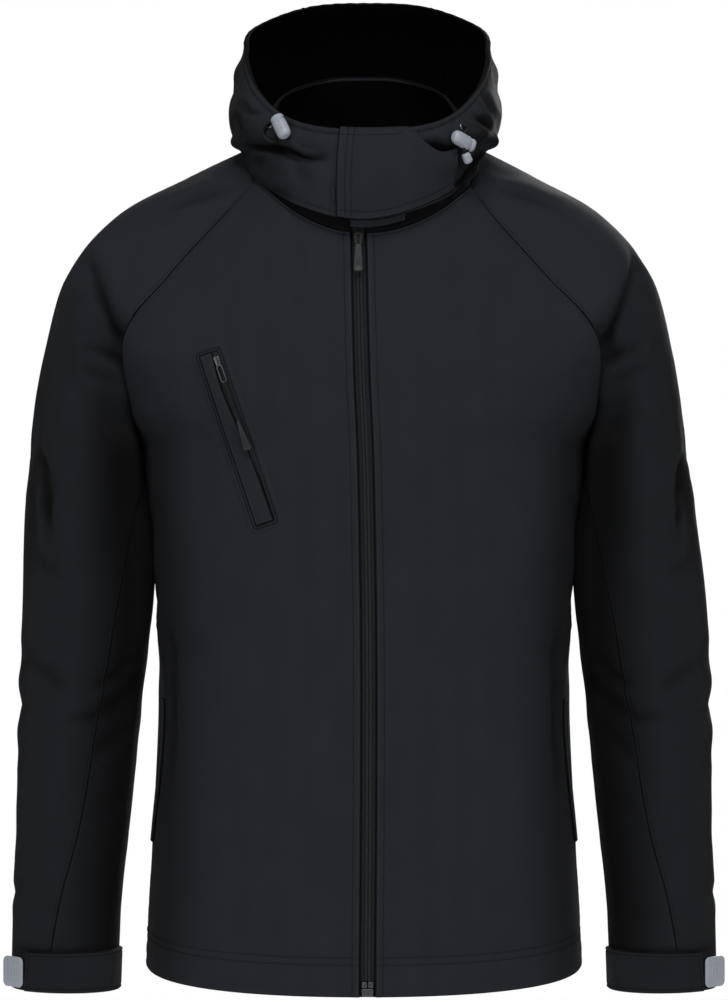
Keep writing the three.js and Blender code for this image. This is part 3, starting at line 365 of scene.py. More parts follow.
# The largest folds, as in the part: soft troughs between two points, negative for a ridge.
SLEEVE_FOLDS = [
    ((255, -38, -92), (214, -92, -172), 13, 16),
    ((214, -92, -172), (209, -80, -232), 12, 15),
    ((236, -48, -84), (200, -84, -150), -3, 13),
    ((196, -42, -468), (226, -72, -512), 7, 17),
    ((226, -72, -512), (252, -70, -575), 4, 18),
    ((306, -36, -250), (300, -58, -350), 4, 20),
]
HOOD_FOLDS = {
    -1: [
        ((-118, -45, 12), (-80, -98, 6), 5, 9),
        ((-80, -98, 6), (-36, -121, -6), 6, 9),
    ],
    1: [
        ((50, -116, 2), (84, -98, 2), 6, 9),
        ((84, -98, 2), (122, -30, 12), 6, 10),
        ((82, -100, -26), (98, -84, 4), 5, 8),
    ],
}

# Creases, drawn as seen from a side: which side, points, depth, width. From the front and the
# back the points are x, z, and from the left and right they are y, z.
SLEEVE_CREASES = [
    ("front", [(112, -17), (140, -22), (176, -33)], -1.4, 6),
    ("front", [(114, -25), (142, -32), (172, -44)], 1.5, 6),
    ("front", [(243, -166), (228, -172), (212, -183)], 3.2, 4.5),
    ("front", [(247, -186), (232, -190), (216, -200)], 1.8, 5),
    ("front", [(262, -150), (250, -168), (244, -190)], -1.6, 8),
    ("front", [(247, -85), (232, -124), (217, -162), (209, -196)], 3.6, 6.5),
    ("front", [(203, -440), (216, -452), (238, -470)], 2.8, 6),
    ("front", [(204, -468), (218, -482), (242, -494), (262, -492)], 2.4, 7),
    ("front", [(206, -502), (220, -512), (240, -534)], 2.2, 6),
    ("front", [(289, -246), (283, -284), (279, -312), (277, -338)], 3.2, 6),
    ("front", [(292, -262), (284, -268), (276, -280)], 1.5, 3.2),
    ("front", [(291, -282), (282, -290), (274, -303)], 1.5, 3.2),
    ("front", [(290, -304), (281, -312), (273, -324)], 1.4, 3.2),
    ("front", [(262, -470), (280, -452), (300, -446)], 1.6, 7),
    ("front", [(206, -560), (228, -572), (252, -598)], 1.6, 8),
    ("front", [(284, -262), (277, -290), (280, -322)], 2.2, 7),
    ("front", [(296, -342), (283, -360), (268, -368)], 1.3, 7),
    ("front", [(226, -660), (250, -672), (276, -668)], 1.4, 8),
    ("front", [(300, -640), (286, -660), (262, -672)], 1.2, 7),
    ("left", [(-62, -262), (-46, -300), (-52, -340)], 2.6, 8),
    ("left", [(-30, -236), (-8, -262), (0, -300)], 2.0, 10),
    ("left", [(-70, -430), (-44, -446), (-10, -440)], 2.6, 8),
    ("left", [(-78, -470), (-50, -488), (-14, -486), (16, -470)], 3.0, 9),
    ("left", [(-74, -520), (-48, -530), (-20, -528)], 2.2, 8),
    ("left", [(40, -250), (58, -290), (60, -330)], 2.4, 10),
    ("left", [(30, -560), (8, -590), (-20, -600)], 1.8, 9),
    ("left", [(-56, -640), (-30, -652), (0, -648)], 1.6, 7),
    ("back", [(292, -176), (262, -196), (222, -236)], 6, 13),
    ("back", [(288, -220), (262, -244), (226, -272)], 4, 11),
    ("back", [(252, -110), (228, -150), (214, -196)], 4.5, 13),
    ("back", [(196, -420), (222, -446), (262, -456)], 4, 9),
    ("back", [(198, -470), (232, -490), (286, -482)], 4.5, 10),
    ("back", [(204, -516), (240, -526), (280, -514)], 3, 9),
    ("back", [(212, -590), (238, -606), (272, -604)], 2, 9),
    ("back", [(222, -668), (250, -680), (290, -672)], 1.8, 8),
]
BODY_CREASES = [
    ("front", [(196, -200), (184, -232), (178, -280)], 2.2, 12),
    ("front", [(170, -222), (150, -262), (140, -310)], 1.2, 16),
    ("front", [(190, -300), (178, -350), (176, -400)], 1.4, 10),
    ("front", [(182, -420), (160, -440), (140, -448)], 0.8, 12),
    ("front", [(30, -92), (62, -110), (96, -120)], 0.7, 11),
    ("front", [(173, -410), (169, -440), (168, -480), (168, -515), (172, -556)], 2.6, 3.6),
    ("left", [(-60, -300), (-20, -330), (30, -340)], 1.4, 12),
    ("left", [(-52, -372), (-10, -392), (44, -384)], 1.2, 11),
    ("left", [(-70, -430), (-30, -452), (10, -446)], 1.0, 11),
    ("left", [(20, -560), (44, -600), (56, -650)], 1.6, 13),
    ("left", [(-96, -612), (-78, -650), (-74, -690)], 1.4, 12),
    ("back", [(188, -196), (166, -240), (150, -300)], 4, 14),
    ("back", [(176, -290), (140, -330), (96, -346)], 2.6, 14),
    ("back", [(178, -372), (130, -400), (70, -404)], 2.8, 13),
    ("back", [(176, -440), (120, -456), (64, -448), (20, -440)], 2.4, 14),
    ("back", [(20, -96), (60, -118), (110, -128)], 1.6, 14),
    ("back", [(172, -520), (132, -548), (92, -556)], 1.6, 14),
    ("back", [(52, -560), (46, -620), (52, -690)], 1.8, 18),
    ("back", [(130, -600), (126, -650), (134, -700)], 1.6, 16),
    ("back", [(14, -470), (40, -478), (84, -470)], 1.2, 12),
]
HOOD_CREASES = {
    -1: [
        ("front", [(-121, 7), (-104, 8), (-87, 7.5), (-71, 5), (-57, -3), (-46, -6), (-36, -6)], 6, 3.0),
        ("front", [(-116, 4), (-112, -2), (-106, -14), (-98, -28), (-90, -38)], 4.5, 5.5),
        ("front", [(-100, -1), (-84, -2), (-62, -11), (-44, -15)], 2.0, 8.5),
        ("front", [(-108, 51), (-101, 40), (-90, 38)], 2.6, 3.2),
        ("front", [(-113, 42), (-113, 32), (-112, 22)], 2.6, 2.6),
        ("front", [(-108, 38), (-109, 28), (-110, 18)], 2.2, 2.4),
        ("front", [(-98, -22), (-84, -34), (-64, -40)], 2, 7),
        ("front", [(-62, -4), (-54, -18), (-46, -24)], 1.4, 6),
    ],
    1: [
        ("front", [(54, 7), (62, 7), (70, 5), (80, 3), (92, 7)], 7, 3.8),
        ("front", [(116, 15), (108, 6), (98, -6), (88, -20), (80, -30)], 7, 3.6),
        ("front", [(98, 35), (106, 32), (115, 26)], 5, 3.4),
        ("front", [(104, 60), (110, 48), (113, 38)], 2.6, 3.4),
        ("front", [(92, 10), (100, 12), (112, 20)], 2.6, 3.4),
        ("front", [(104, -14), (97, -22), (86, -30)], 1.8, 4),
    ],
}
HOOD_SIDE_CREASES = [
    ("left", [(-60, 24), (-20, 30), (30, 26)], 3.6, 9),
    ("left", [(-40, 62), (0, 74), (50, 70)], 2.4, 10),
    ("left", [(10, 100), (50, 104), (90, 84)], 2.2, 10),
    ("left", [(60, 0), (84, 20), (96, 52)], 3, 10),
    ("left", [(96, -40), (110, -8), (120, 30)], 2.4, 10),
    ("back", [(60, -50), (64, 0), (50, 50)], 2.6, 11),
    ("back", [(96, 0), (90, 44), (74, 88)], 2.8, 11),
    ("back", [(-14, -60), (-20, -10), (-12, 40)], 1.8, 13),
    ("back", [(22, 96), (0, 108), (-26, 98)], 1.4, 11),
]
# Painted shade in hollows that take in hardly any light: as the creases, with a share of light
# instead of a depth.
HOOD_HOLLOWS = {
    -1: [
        ("front", [(-118, 4), (-111, -7), (-104, -20), (-97, -33), (-92, -40)], 1.0, 5.5),
        ("front", [(-122, 5), (-104, 5.5), (-88, 5), (-73, 1), (-60, -6), (-44, -9)], 1.3, 3.0),
    ],
    1: [
        ("front", [(54, 6), (62, 5), (69, 4), (78, 3)], 1.1, 4.2),
        ("front", [(113, 11), (104, 1), (94, -12), (86, -26)], 1.25, 4.4),
        ("front", [(96, 34), (105, 31), (116, 26)], 1.2, 4.0),
        ("front", [(110, -12), (98, -26), (86, -38)], 0.9, 5.0),
    ],
}
SIGHT = {"front": (0, 2, 1, -1), "back": (0, 2, 1, 1), "left": (1, 2, 0, 1), "right": (1, 2, 0, -1)}


def fold_depth(folds, points):
    """How far folds push points in."""
    total = np.zeros(points.shape[:-1])
    for start, end, depth, width in folds:
        start, line = np.array(start, float), np.subtract(end, start).astype(float)
        t = np.clip((points - start) @ line / (line @ line), 0, 1)
        away = np.linalg.norm(points - start - t[..., None] * line, axis=-1)
        total += depth * np.exp(-((away / width) ** 2))
    return total


def crease_depth(creases, points, normals):
    """How far creases push points in: a trough between two low shoulders, thin at its ends."""
    total = np.zeros(points.shape[:-1])
    for sight, path, depth, width in creases:
        a, b, axis, facing = SIGHT[sight]
        seen = smooth(normals[..., axis] * facing * 2 + 0.25)
        flat = points[..., [a, b]]
        path = np.array(path, float)
        lengths = np.linalg.norm(np.diff(path, axis=0), axis=1)
        starts = np.concatenate([[0], np.cumsum(lengths)])
        best = np.full(flat.shape[:-1], 1e9)
        along = np.zeros(flat.shape[:-1])
        for k, long in enumerate(lengths):
            line = path[k + 1] - path[k]
            t = np.clip((flat - path[k]) @ line / long**2, 0, 1)
            away = np.linalg.norm(flat - path[k] - t[..., None] * line, axis=-1)
            closer = away < best
            along = np.where(closer, (starts[k] + t * long) / starts[-1], along)
            best = np.minimum(best, away)
        strength = np.clip(np.sin(np.pi * mix(0.04, 0.96, along)), 0, 1) ** 0.7
        x = best / (width * (1 + 0.2 * np.sin(9 * along + depth * 7)))
        total += seen * strength * depth * (np.exp(-(x**2)) - 0.32 * np.exp(-((x - 1.9) ** 2)))
    return total


def mirrored(folds, side):
    return [(mirror(np.array(a), side), mirror(np.array(b), side), d, w) for a, b, d, w in folds]


def creases_of(creases, side):
    """Creases of the wearer's left, or as they lie on the right."""
    turned = {"left": "right", "right": "left"}
    if side > 0:
        return creases
    return [
        (turned.get(s, s), [(-p[0], p[1]) if s in ("front", "back") else p for p in path], d, w)
        for s, path, d, w in creases
    ]


# Cloth panels. A grid has lines at these distances from an edge, and even ones between.
EDGE = np.array([0, 0.4, 0.9, 1.5, 2.1, 2.7, 3.4, 4.4, 5.4, 6.4, 7.6, 9.5])
HEM_ROWS = (27.5, 34)
HEM_EDGE = np.array(
    [0, 0.5, 1.2, 2.2, 4, 8, 13, 18, 22, 25, 26.6, 27.5, 28.4, 30, 32, 33.1, 34, 34.9, 37, 40]
)


def stations(length, step, first=EDGE, last=EDGE):
    """Distances along a line: close together near its ends, even between them."""
    room = min(1, 0.45 * length / max(first[-1], last[-1], 1e-6))
    low, high = first * room, length - last[::-1] * room
    count = max(1, int(round((high[0] - low[-1]) / step)))
    return np.concatenate([low, np.linspace(low[-1], high[0], count + 1)[1:-1], high])


def lengths_of(points, axis):
    steps = np.linalg.norm(np.diff(points, axis=axis), axis=-1)
    start = np.zeros_like(np.take(steps, [0], axis=axis))
    return np.cumsum(np.concatenate([start, steps], axis=axis), axis=axis)


def resampled(where, run, values):
    """Values of three columns along a line, at other places on it."""
    return np.stack([np.interp(where, run, values[:, k]) for k in range(3)], -1)


def lay_out(
    point, rows, across, step, row_step, first=EDGE, last=EDGE, row_first=EDGE, row_last=EDGE
):
    """A grid over a surface with its lines at true distances from the panel's edges."""
    dense_rows = np.linspace(*rows, 400)
    middle = np.full(400, mix(*across, 0.5))
    run = lengths_of(point(dense_rows, middle), 0)
    at = np.interp(stations(run[-1], row_step, row_first, row_last), run, dense_rows)
    dense = np.linspace(*across, 240)
    wide = lengths_of(point(at[:, None], dense[None, :]), 1)
    count = len(stations(wide[:, -1].max(), step, first, last))
    cols = np.empty((len(at), count))
    share = stations(wide[:, -1].max(), step, first, last)
    for i, line in enumerate(wide):
        longest, here = share[-1], line[-1]
        from_start, from_end = share, longest - share
        room = min(1, here / longest)
        even = share * room
        near = smooth((share - first[-1]) / (0.3 * longest))
        far = smooth((longest - last[-1] - share) / (0.3 * longest))
        keep = 1 if here > 3 * first[-1] else room
        spot = np.where(
            from_start < from_end,
            mix(from_start * keep, even, near),
            mix(here - from_end * keep, even, far),
        )
        cols[i] = np.interp(np.maximum.accumulate(spot), line, dense)
    return np.broadcast_to(at[:, None], cols.shape), cols


# A pressed line of this depth is painted black. A crease gets painted shade if it is narrower
# than wide and deeper than deep, and is painted black at the depth of black.
SEWN_DARK = 0.75
NARROW = {"wide": 8, "deep": 1.2, "black": 3.8}


class Panel:
    """A grid of points with their normals and distances from the panel's edges.

    lift: how far the cloth stands off the base. dark: painted shade, the share of light kept out.
    painted_light: a factor on the colour that paints shade and highlights where less or more light
    falls. facing: how far the outer cloth is turned in at the last row.
    """

    facing = 0

    def __init__(self, base, normal, at, across):
        self.base, self.normal, self.at, self.across = base, normal, at, across
        run, wide = lengths_of(base, 0), lengths_of(base, 1)
        self.first, self.last = run, run[-1:] - run
        self.start, self.end = wide, wide[:, -1:] - wide
        self.size = (wide[:, -1].max(), run[-1].max())
        self.lift = np.zeros(base.shape[:2])
        self.dark = np.zeros(base.shape[:2])
        self.painted_light = np.ones(base.shape[:2])

    def outer(self):
        return self.base + self.normal * self.lift[..., None]

    def crease(self, creases):
        """Creases as drawn; the narrow ones also get painted shade."""
        self.lift = self.lift - crease_depth(creases, self.base, self.normal)
        narrow = [c for c in creases if c[3] < NARROW["wide"] and c[2] > NARROW["deep"]]
        self.hollow(narrow, NARROW["black"])

    def hollow(self, hollows, black=1.0):
        """Painted shade without a change of shape. black: the depth at which hardly any light gets in."""
        self.shade(np.clip(crease_depth(hollows, self.base, self.normal) / black, 0, 0.95))

    # Painted shade: the larger share of light kept out stays.
    def shade(self, share):
        self.dark = np.maximum(self.dark, share)

    def paint_light(self, share):
        """Paint shade or highlights: scale the factor of painted light on the cloth's colour."""
        self.painted_light = self.painted_light * share

    def along(self, edge):
        return self.start if edge in ("first", "last") else self.first

    def press(self, depth, share=1.0):
        """Lower the cloth, and paint shade for the share of its light that a narrow hollow keeps out."""
        self.lift = self.lift - depth
        self.shade(np.clip(share * depth / SEWN_DARK, 0, 1))

    def groove(self, edge, place, depth=0.45, width=0.6, where=1.0):
        """The line that a row of stitches presses into the cloth, with a little painted shade."""
        away = getattr(self, edge)
        self.press(where * depth * np.exp(-(((away - place) / width) ** 2)), 0.3)

    def valley(self, edge, depth=0.85, width=0.85, where=1.0):
        """Two edges sewn together roll down into their seam in painted shade; the ridge beside it gets a
        painted highlight.
        """
        away = getattr(self, edge)
        self.press(where * depth * np.exp(-((away / width) ** 2)))
        ridge = where * np.exp(-(((away - 1.5) / 0.65) ** 2))
        self.lift = self.lift + 0.3 * ridge
        # A painted highlight on the ridge beside the seam.
        self.paint_light(1 + 0.4 * ridge)

    def pucker(self, edge, place, height, pitch, seed, where=1.0):
        """Small waves that sewing pulls up across a stitch line."""
        away, run = getattr(self, edge), self.along(edge)
        wave = np.sin(run / pitch * 2 * math.pi + 1.7 * np.sin(run / 37.0 + seed) + seed)
        wave = wave * (0.55 + 0.45 * np.sin(run / 61.0 + 2 * seed))
        self.lift = self.lift + where * height * wave * np.exp(-(((away - place) / 5.0) ** 2))

    def line(self, edge, distance, keep=None):
        """Points and normals of the outer face at one distance from an edge, in the lines kept."""
        away, points, normal = getattr(self, edge), self.outer(), self.normal
        if edge in ("first", "last"):
            away, points, normal = away.T, points.transpose(1, 0, 2), normal.transpose(1, 0, 2)
        spots, faces = [], []
        for i in range(len(away)):
            if keep is not None and not keep[i]:
                continue
            order = np.argsort(away[i])
            spots.append(resampled(distance, away[i][order], points[i][order]))
            faces.append(resampled(distance, away[i][order], normal[i][order]))
        return np.array(spots), unit(np.array(faces))


def add_mesh(name, points, faces, materials, uv=None, inside=None, shade=True):
    """A mesh object from points in millimetres."""
    mesh = bpy.data.meshes.new(name)
    points = np.asarray(points, np.float32) * MM
    if isinstance(faces, np.ndarray):
        size = faces.shape[1]
        mesh.vertices.add(len(points))
        mesh.vertices.foreach_set("co", points.ravel())
        mesh.loops.add(faces.size)
        mesh.loops.foreach_set("vertex_index", faces.ravel().astype(np.int32))
        mesh.polygons.add(len(faces))
        mesh.polygons.foreach_set("loop_start", np.arange(0, faces.size, size, dtype=np.int32))
        mesh.update(calc_edges=True)
    else:
        mesh.from_pydata(points.tolist(), [], faces)
    for material in materials:
        mesh.materials.append(material)
    if inside is not None:
        mesh.polygons.foreach_set("material_index", inside.astype(np.int32))
    mesh.polygons.foreach_set("use_smooth", np.full(len(mesh.polygons), shade))
    if uv is not None:
        layer = mesh.uv_layers.new(name="grain")
        order = np.empty(len(mesh.loops), np.int32)
        mesh.loops.foreach_get("vertex_index", order)
        layer.data.foreach_set("uv", (uv[order] * MM).astype(np.float32).ravel())
    mesh.validate()
    obj = bpy.data.objects.new(name, mesh)
    bpy.context.scene.collection.objects.link(obj)
    return obj


def shell(name, panel, thick, materials):
    """A closed thin shell between a panel's outer face and its inner face."""
    outer = panel.outer()
    inner = outer - panel.normal * thick
    rows, cols = outer.shape[:2]
    count = rows * cols
    index = np.arange(count).reshape(rows, cols)
    a, b, c, d = index[:-1, :-1], index[:-1, 1:], index[1:, 1:], index[1:, :-1]
    front = np.stack([a, b, c, d], -1).reshape(-1, 4)
    rim = []
    for line in (index[0, ::-1], index[-1], index[:, 0], index[::-1, -1]):
        rim.append(np.stack([line[:-1], line[1:], line[1:] + count, line[:-1] + count], -1))
    rim = np.concatenate(rim)
    step = panel.base[rows // 2, cols // 2 + 1] - panel.base[rows // 2, cols // 2]
    down = panel.base[rows // 2 + 1, cols // 2] - panel.base[rows // 2, cols // 2]
    if np.cross(step, down) @ panel.normal[rows // 2, cols // 2] < 0:
        front, rim = front[:, ::-1], rim[:, ::-1]
    faces = np.concatenate([front, front[:, ::-1] + count, rim[:, ::-1]])
    lining = (panel.last[:-1, :-1] > panel.facing).ravel().astype(float)
    inside = np.concatenate([np.zeros(len(front)), lining, np.zeros(len(rim))])
    points = np.concatenate([outer.reshape(-1, 3), inner.reshape(-1, 3)])
    uv = np.stack([panel.start, panel.first], -1).reshape(-1, 2)
    if len(materials) < 2:
        inside = None
    obj = add_mesh(name, points, faces, materials, np.concatenate([uv, uv]), inside)
    # Painted light of the cloth: painted shade and painted highlights, multiplied into its colour.
    tone_and_painted_light = panel.painted_light * (1 - 0.9 * panel.dark)
    layer = obj.data.attributes.new("tone_and_painted_light", "FLOAT", "POINT")
    layer.data.foreach_set("value", np.concatenate([tone_and_painted_light.ravel()] * 2).astype(np.float32))
    return obj


def dress(obj, node, body="jacket"):
    """The usual facts of a piece: what it moves with, and what it stands for."""
    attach(obj, body)
    if node:
        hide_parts(*([node] if isinstance(node, str) else node))
    return obj


def cut_area(panel):
    outer = panel.outer()
    a = outer[1:, 1:] - outer[:-1, :-1]
    b = outer[1:, :-1] - outer[:-1, 1:]
    return np.linalg.norm(np.cross(a, b), axis=-1).sum() / 2


def cloth(name, node, panel, thick=CLOTH, lined=True):
    obj = shell(name, panel, thick, [SOFTSHELL, FLEECE] if lined else [SOFTSHELL])
    dress(obj, node)
    width, length = panel.size
    flat = (round(width) * MM, round(length) * MM)
    area = min(cut_area(panel) * MM * MM, flat[0] * flat[1])
    return obj


# Materials
def new_material(name, colour, rough, metal=0.0, sheen=0.0, sheen_rough=0.5, specular=0.5):
    material = bpy.data.materials.new(name)
    material.use_nodes = True
    shader = material.node_tree.nodes["Principled BSDF"]
    shader.inputs["Base Color"].default_value = (*colour, 1)
    shader.inputs["Roughness"].default_value = rough
    shader.inputs["Metallic"].default_value = metal
    shader.inputs["Sheen Weight"].default_value = sheen
    shader.inputs["Sheen Roughness"].default_value = sheen_rough
    shader.inputs["Specular IOR Level"].default_value = specular
    return material, material.node_tree, shader


def node(tree, kind, inputs=None, **settings):
    made = tree.nodes.new(kind)
    for key, value in settings.items():
        setattr(made, key, value)
    for key, value in (inputs or {}).items():
        if isinstance(value, bpy.types.NodeSocket):
            tree.links.new(value, made.inputs[key])
        else:
            made.inputs[key].default_value = value
    return made


def noise(tree, scale, detail=2.0, rough=0.5):
    place = node(tree, "ShaderNodeTexCoord")
    return node(
        tree, "ShaderNodeTexNoise",
        {"Vector": place.outputs["Object"], "Scale": scale, "Detail": detail, "Roughness": rough},
    ).outputs["Fac"]


def ramp(tree, value, low, high):
    return node(
        tree, "ShaderNodeMapRange",
        {"Value": value, "From Min": 0.3, "From Max": 0.7, "To Min": low, "To Max": high},
    ).outputs["Result"]


def maths(tree, operation, a, b):
    made = node(tree, "ShaderNodeMath", operation=operation)
    for socket, value in zip(made.inputs, (a, b)):
        if isinstance(value, bpy.types.NodeSocket):
            tree.links.new(value, socket)
        else:
            socket.default_value = value
    return made.outputs[0]


def varied(tree, shader, colour, spread, scale, shade=None):
    """Colour that drifts a little lighter and darker over the piece, times painted light and shade if
    given.
    """
    tone_and_painted_light = ramp(tree, noise(tree, scale, 4, 0.6), 1 - spread, 1 + spread)
    if shade:
        tone_and_painted_light = maths(tree, "MULTIPLY", tone_and_painted_light, shade)
    made = node(tree, "ShaderNodeVectorMath", {0: (*colour,)}, operation="SCALE")
    tree.links.new(tone_and_painted_light, made.inputs["Scale"])
    tree.links.new(made.outputs[0], shader.inputs["Base Color"])


def bump(tree, shader, height, distance, strength=1.0):
    made = node(tree, "ShaderNodeBump", {"Height": height, "Distance": distance, "Strength": strength})
    tree.links.new(made.outputs["Normal"], shader.inputs["Normal"])


WEAVE = {"pitch": 0.62, "depth": 0.1, "scale": 0.3142}


def weave(tree):
    """A twill: warp and weft threads that pass over each other on the cloth's own grain."""
    place = node(tree, "ShaderNodeUVMap", uv_map="grain").outputs["UV"]
    waves = []
    for turn in (45, -45, 0):
        turned = node(
            tree, "ShaderNodeMapping",
            {"Vector": place, "Rotation": (0, 0, math.radians(turn)), "Scale": (1, 1, 1)},
        )
        pitch = WEAVE["pitch"] * (0.7 if turn else 0.5) * MM
        wave = node(
            tree, "ShaderNodeTexWave",
            {"Vector": turned.outputs[0], "Scale": WEAVE["scale"] / pitch, "Distortion": 0.6,
             "Detail": 1.0, "Detail Scale": 2.0},
        )
        waves.append(wave.outputs["Fac"])
    crossed = maths(tree, "MULTIPLY", waves[0], waves[1])
    return maths(tree, "ADD", crossed, maths(tree, "MULTIPLY", waves[2], 0.35))


def fabric(name, colour, sheen, spread=0.07):
    """Woven cloth: its colour drifts, and is multiplied by painted shade and painted highlights at its
    seams, rows of stitches, creases and shaded sides.
    """
    material, tree, shader = new_material(
        name, colour, 0.82, sheen=sheen, sheen_rough=0.45, specular=0.06
    )
    # Painted shade and painted highlights, read from the mesh.
    shade = node(tree, "ShaderNodeAttribute", attribute_name="tone_and_painted_light").outputs["Fac"]
    varied(tree, shader, colour, spread, 34, shade)
    fuzz = noise(tree, 1500, 3, 0.7)
    tree.links.new(ramp(tree, fuzz, 0.74, 0.92), shader.inputs["Roughness"])
    height = maths(tree, "ADD", weave(tree), maths(tree, "MULTIPLY", fuzz, 0.8))
    bump(tree, shader, height, WEAVE["depth"] * MM, 0.9)
    return material


def fleece_material():
    colour = (0.0012, 0.0012, 0.0012)
    material, tree, shader = new_material("fleece", colour, 0.95, specular=0.02)
    varied(tree, shader, colour, 0.25, 300)
    bump(tree, shader, noise(tree, 900, 4, 0.75), 0.5 * MM)
    return material


def plain_material(name, colour, rough, metal=0.0, grain=1200, depth=0.03, spread=0.06, **more):
    material, tree, shader = new_material(name, colour, rough, metal, **more)
    varied(tree, shader, colour, spread, 60)
    fine = noise(tree, grain, 3, 0.6)
    tree.links.new(ramp(tree, fine, rough * 0.88, min(1, rough * 1.12)), shader.inputs["Roughness"])
    bump(tree, shader, fine, depth * MM)
    return material


SOFTSHELL = fabric("softshell", (0.0103, 0.0112, 0.0135), 0.012)
FLEECE = fleece_material()
TAPE = fabric("zip_tape", (0.0092, 0.0098, 0.0106), 0.01)
COIL = plain_material("zip_coil", (0.0112, 0.0118, 0.0126), 0.6, grain=600, specular=0.18)
HARDWARE = plain_material(
    "gunmetal", (0.0072, 0.0078, 0.0086), 0.55, metal=0.15, grain=700, specular=0.3
)
BLACKED = plain_material("blacked_metal", (0.0045, 0.0048, 0.0052), 0.55, grain=700, specular=0.2)
STEEL = plain_material("steel", (0.072, 0.074, 0.079), 0.36, metal=1.0, grain=500)
RUBBER = plain_material("rubber", (0.0115, 0.0125, 0.0140), 0.65, grain=900, specular=0.15)
GREY = plain_material("grey_rubber", (0.185, 0.196, 0.222), 0.45, grain=800, depth=0.02, specular=0.35)
CORD = plain_material(
    "elastic_cord", (0.0045, 0.0045, 0.005), 0.75, grain=2500, depth=0.2, specular=0.15
)
THREAD = plain_material("thread", (0.0018, 0.0019, 0.0021), 0.75, grain=3000, depth=0.05, specular=0.12)


# Threads. A row of stitches lies at its distance from the edge beside it.
SPINDLE = {"sides": 6, "radius": 0.34, "sunk": 0.17}
USUAL = {"pitch": 3.5, "long": 2.2}
FINE = {"pitch": 2.4, "long": 1.9}
ROW = {
    "seam": 2.7, "zip": 6.4, "neck": 3, "collar": 3.4, "rim": 6.2, "loose": 5.5,
    "cuff": 22, "strap": 3.2, "patch": 24, "pocket": 4,
}
THREADS = []


def sew(line, pitch, long):
    """Stitches along a line of points and normals."""
    points, normals = line
    if len(points) < 2:
        return
    run = lengths_of(points, 0)
    count = int(run[-1] / pitch)
    if count < 1:
        return
    middle = (np.arange(count) + 0.5) * (run[-1] / count)
    up = unit(resampled(middle, run, normals))
    a = resampled(middle - long / 2, run, points) - up * SPINDLE["sunk"]
    b = resampled(middle + long / 2, run, points) - up * SPINDLE["sunk"]
    THREADS.append((a, b, up, np.full(count, SPINDLE["radius"])))


def spindles(pieces):
    """Points and faces of many stitches: a tube of two rings that narrows to a tip at each end."""
    starts, ends, ups, sizes = (np.concatenate(columns) for columns in zip(*pieces))
    sides = SPINDLE["sides"]
    along = unit(ends - starts)
    across = unit(np.cross(along, ups))
    up = np.cross(across, along)
    turn = np.arange(sides) / sides * 2 * math.pi
    turned = across[:, None] * np.cos(turn)[:, None] + up[:, None] * np.sin(turn)[:, None]
    ring = turned * sizes[:, None, None]
    long = np.linalg.norm(ends - starts, axis=-1)[:, None]
    crown = up * sizes[:, None] * 0.9
    one = starts + along * long * 0.25 + crown
    two = ends - along * long * 0.25 + crown
    points = np.concatenate(
        [starts[:, None], one[:, None] + ring, two[:, None] + ring, ends[:, None]], 1
    )
    faces = []
    last = 2 * sides + 1
    for k in range(sides):
        n = (k + 1) % sides
        faces.append((0, 1 + n, 1 + k))
        faces.append((1 + k, 1 + n, 1 + sides + n))
        faces.append((1 + k, 1 + sides + n, 1 + sides + k))
        faces.append((last, 1 + sides + k, 1 + sides + n))
    faces = np.array(faces)[None] + (np.arange(len(starts)) * (last + 1))[:, None, None]
    return points.reshape(-1, 3), faces.reshape(-1, 3)


def stitching(name):
    """All stitches drawn since the last call, as one piece."""
    points, faces = spindles(THREADS)
    THREADS.clear()
    return dress(add_mesh(name, points, faces, [THREAD]), None)


# Body panels
def front_start(at, side):
    return around_for(ZIP_GAP / 2 + side * zip_x(at), at, side)


def seam_blend(normal, edge_normal, away):
    """Normals that turn towards those of a seam within a short way of it."""
    return unit(mix(normal, edge_normal, np.exp(-((away / 9.0) ** 2))[..., None]))


def front_panel(side):
    around = lambda at, t: mix(front_start(at, side), seam_around(at), t)
    point = lambda at, t: body_point(at, around(at, t), side)
    at, t = lay_out(point, (0, 2), (0, 1), 4, 4.2, row_first=HEM_EDGE)
    base, normal = point(at, t), body_normal(at, around(at, t), side)
    panel = Panel(base, normal, at, t)
    seam = raglan_normal(np.clip(2 - at, 0, 1), False, side)
    blended = seam_blend(normal, seam, panel.end)
    panel.normal = np.where((at > 1)[..., None], blended, normal)
    panel.base, panel.normal = mirror(base, side), mirror(panel.normal, side)
    panel.crease(creases_of(BODY_CREASES, side))
    outward = side * panel.normal[..., 0]
    # Painted shade on the sides of the front that face the arms, up to the armpits.
    panel.paint_light(1 - 0.6 * smooth((outward - 0.5) / 0.45) * smooth((1.15 - at) / 0.2))
    panel.lift += 0.5 * smooth((7.2 - panel.start) / 1.2)
    panel.groove("start", ROW["zip"], 0.6)
    panel.pucker("start", ROW["zip"], 0.2, 9, 0.4 + side)
    panel.valley("start", 0.7, 0.8)
    panel.valley("end")
    up = smooth((at - 1) / 0.02)
    panel.groove("end", ROW["seam"], where=up)
    panel.pucker("end", ROW["seam"], 0.25, 8, 1.1, up)
    panel.pucker("end", 2, 0.35, 17, 2.0 + side, 1 - up)
    hem_sewing(panel)
    return panel


def hem_sewing(panel):
    """The turned-up hem with its two rows, and the neck seam."""
    for place in HEM_ROWS:
        panel.groove("first", place, 0.5)
        panel.pucker("first", place, 0.22, 11, place)
    panel.valley("first", 0.8, 1.0)
    panel.valley("last", 0.7, 0.9)
    panel.lift = panel.lift + 0.35 * np.exp(-(((panel.last - 1.5) / 0.8) ** 2))
    panel.groove("last", 3.4)


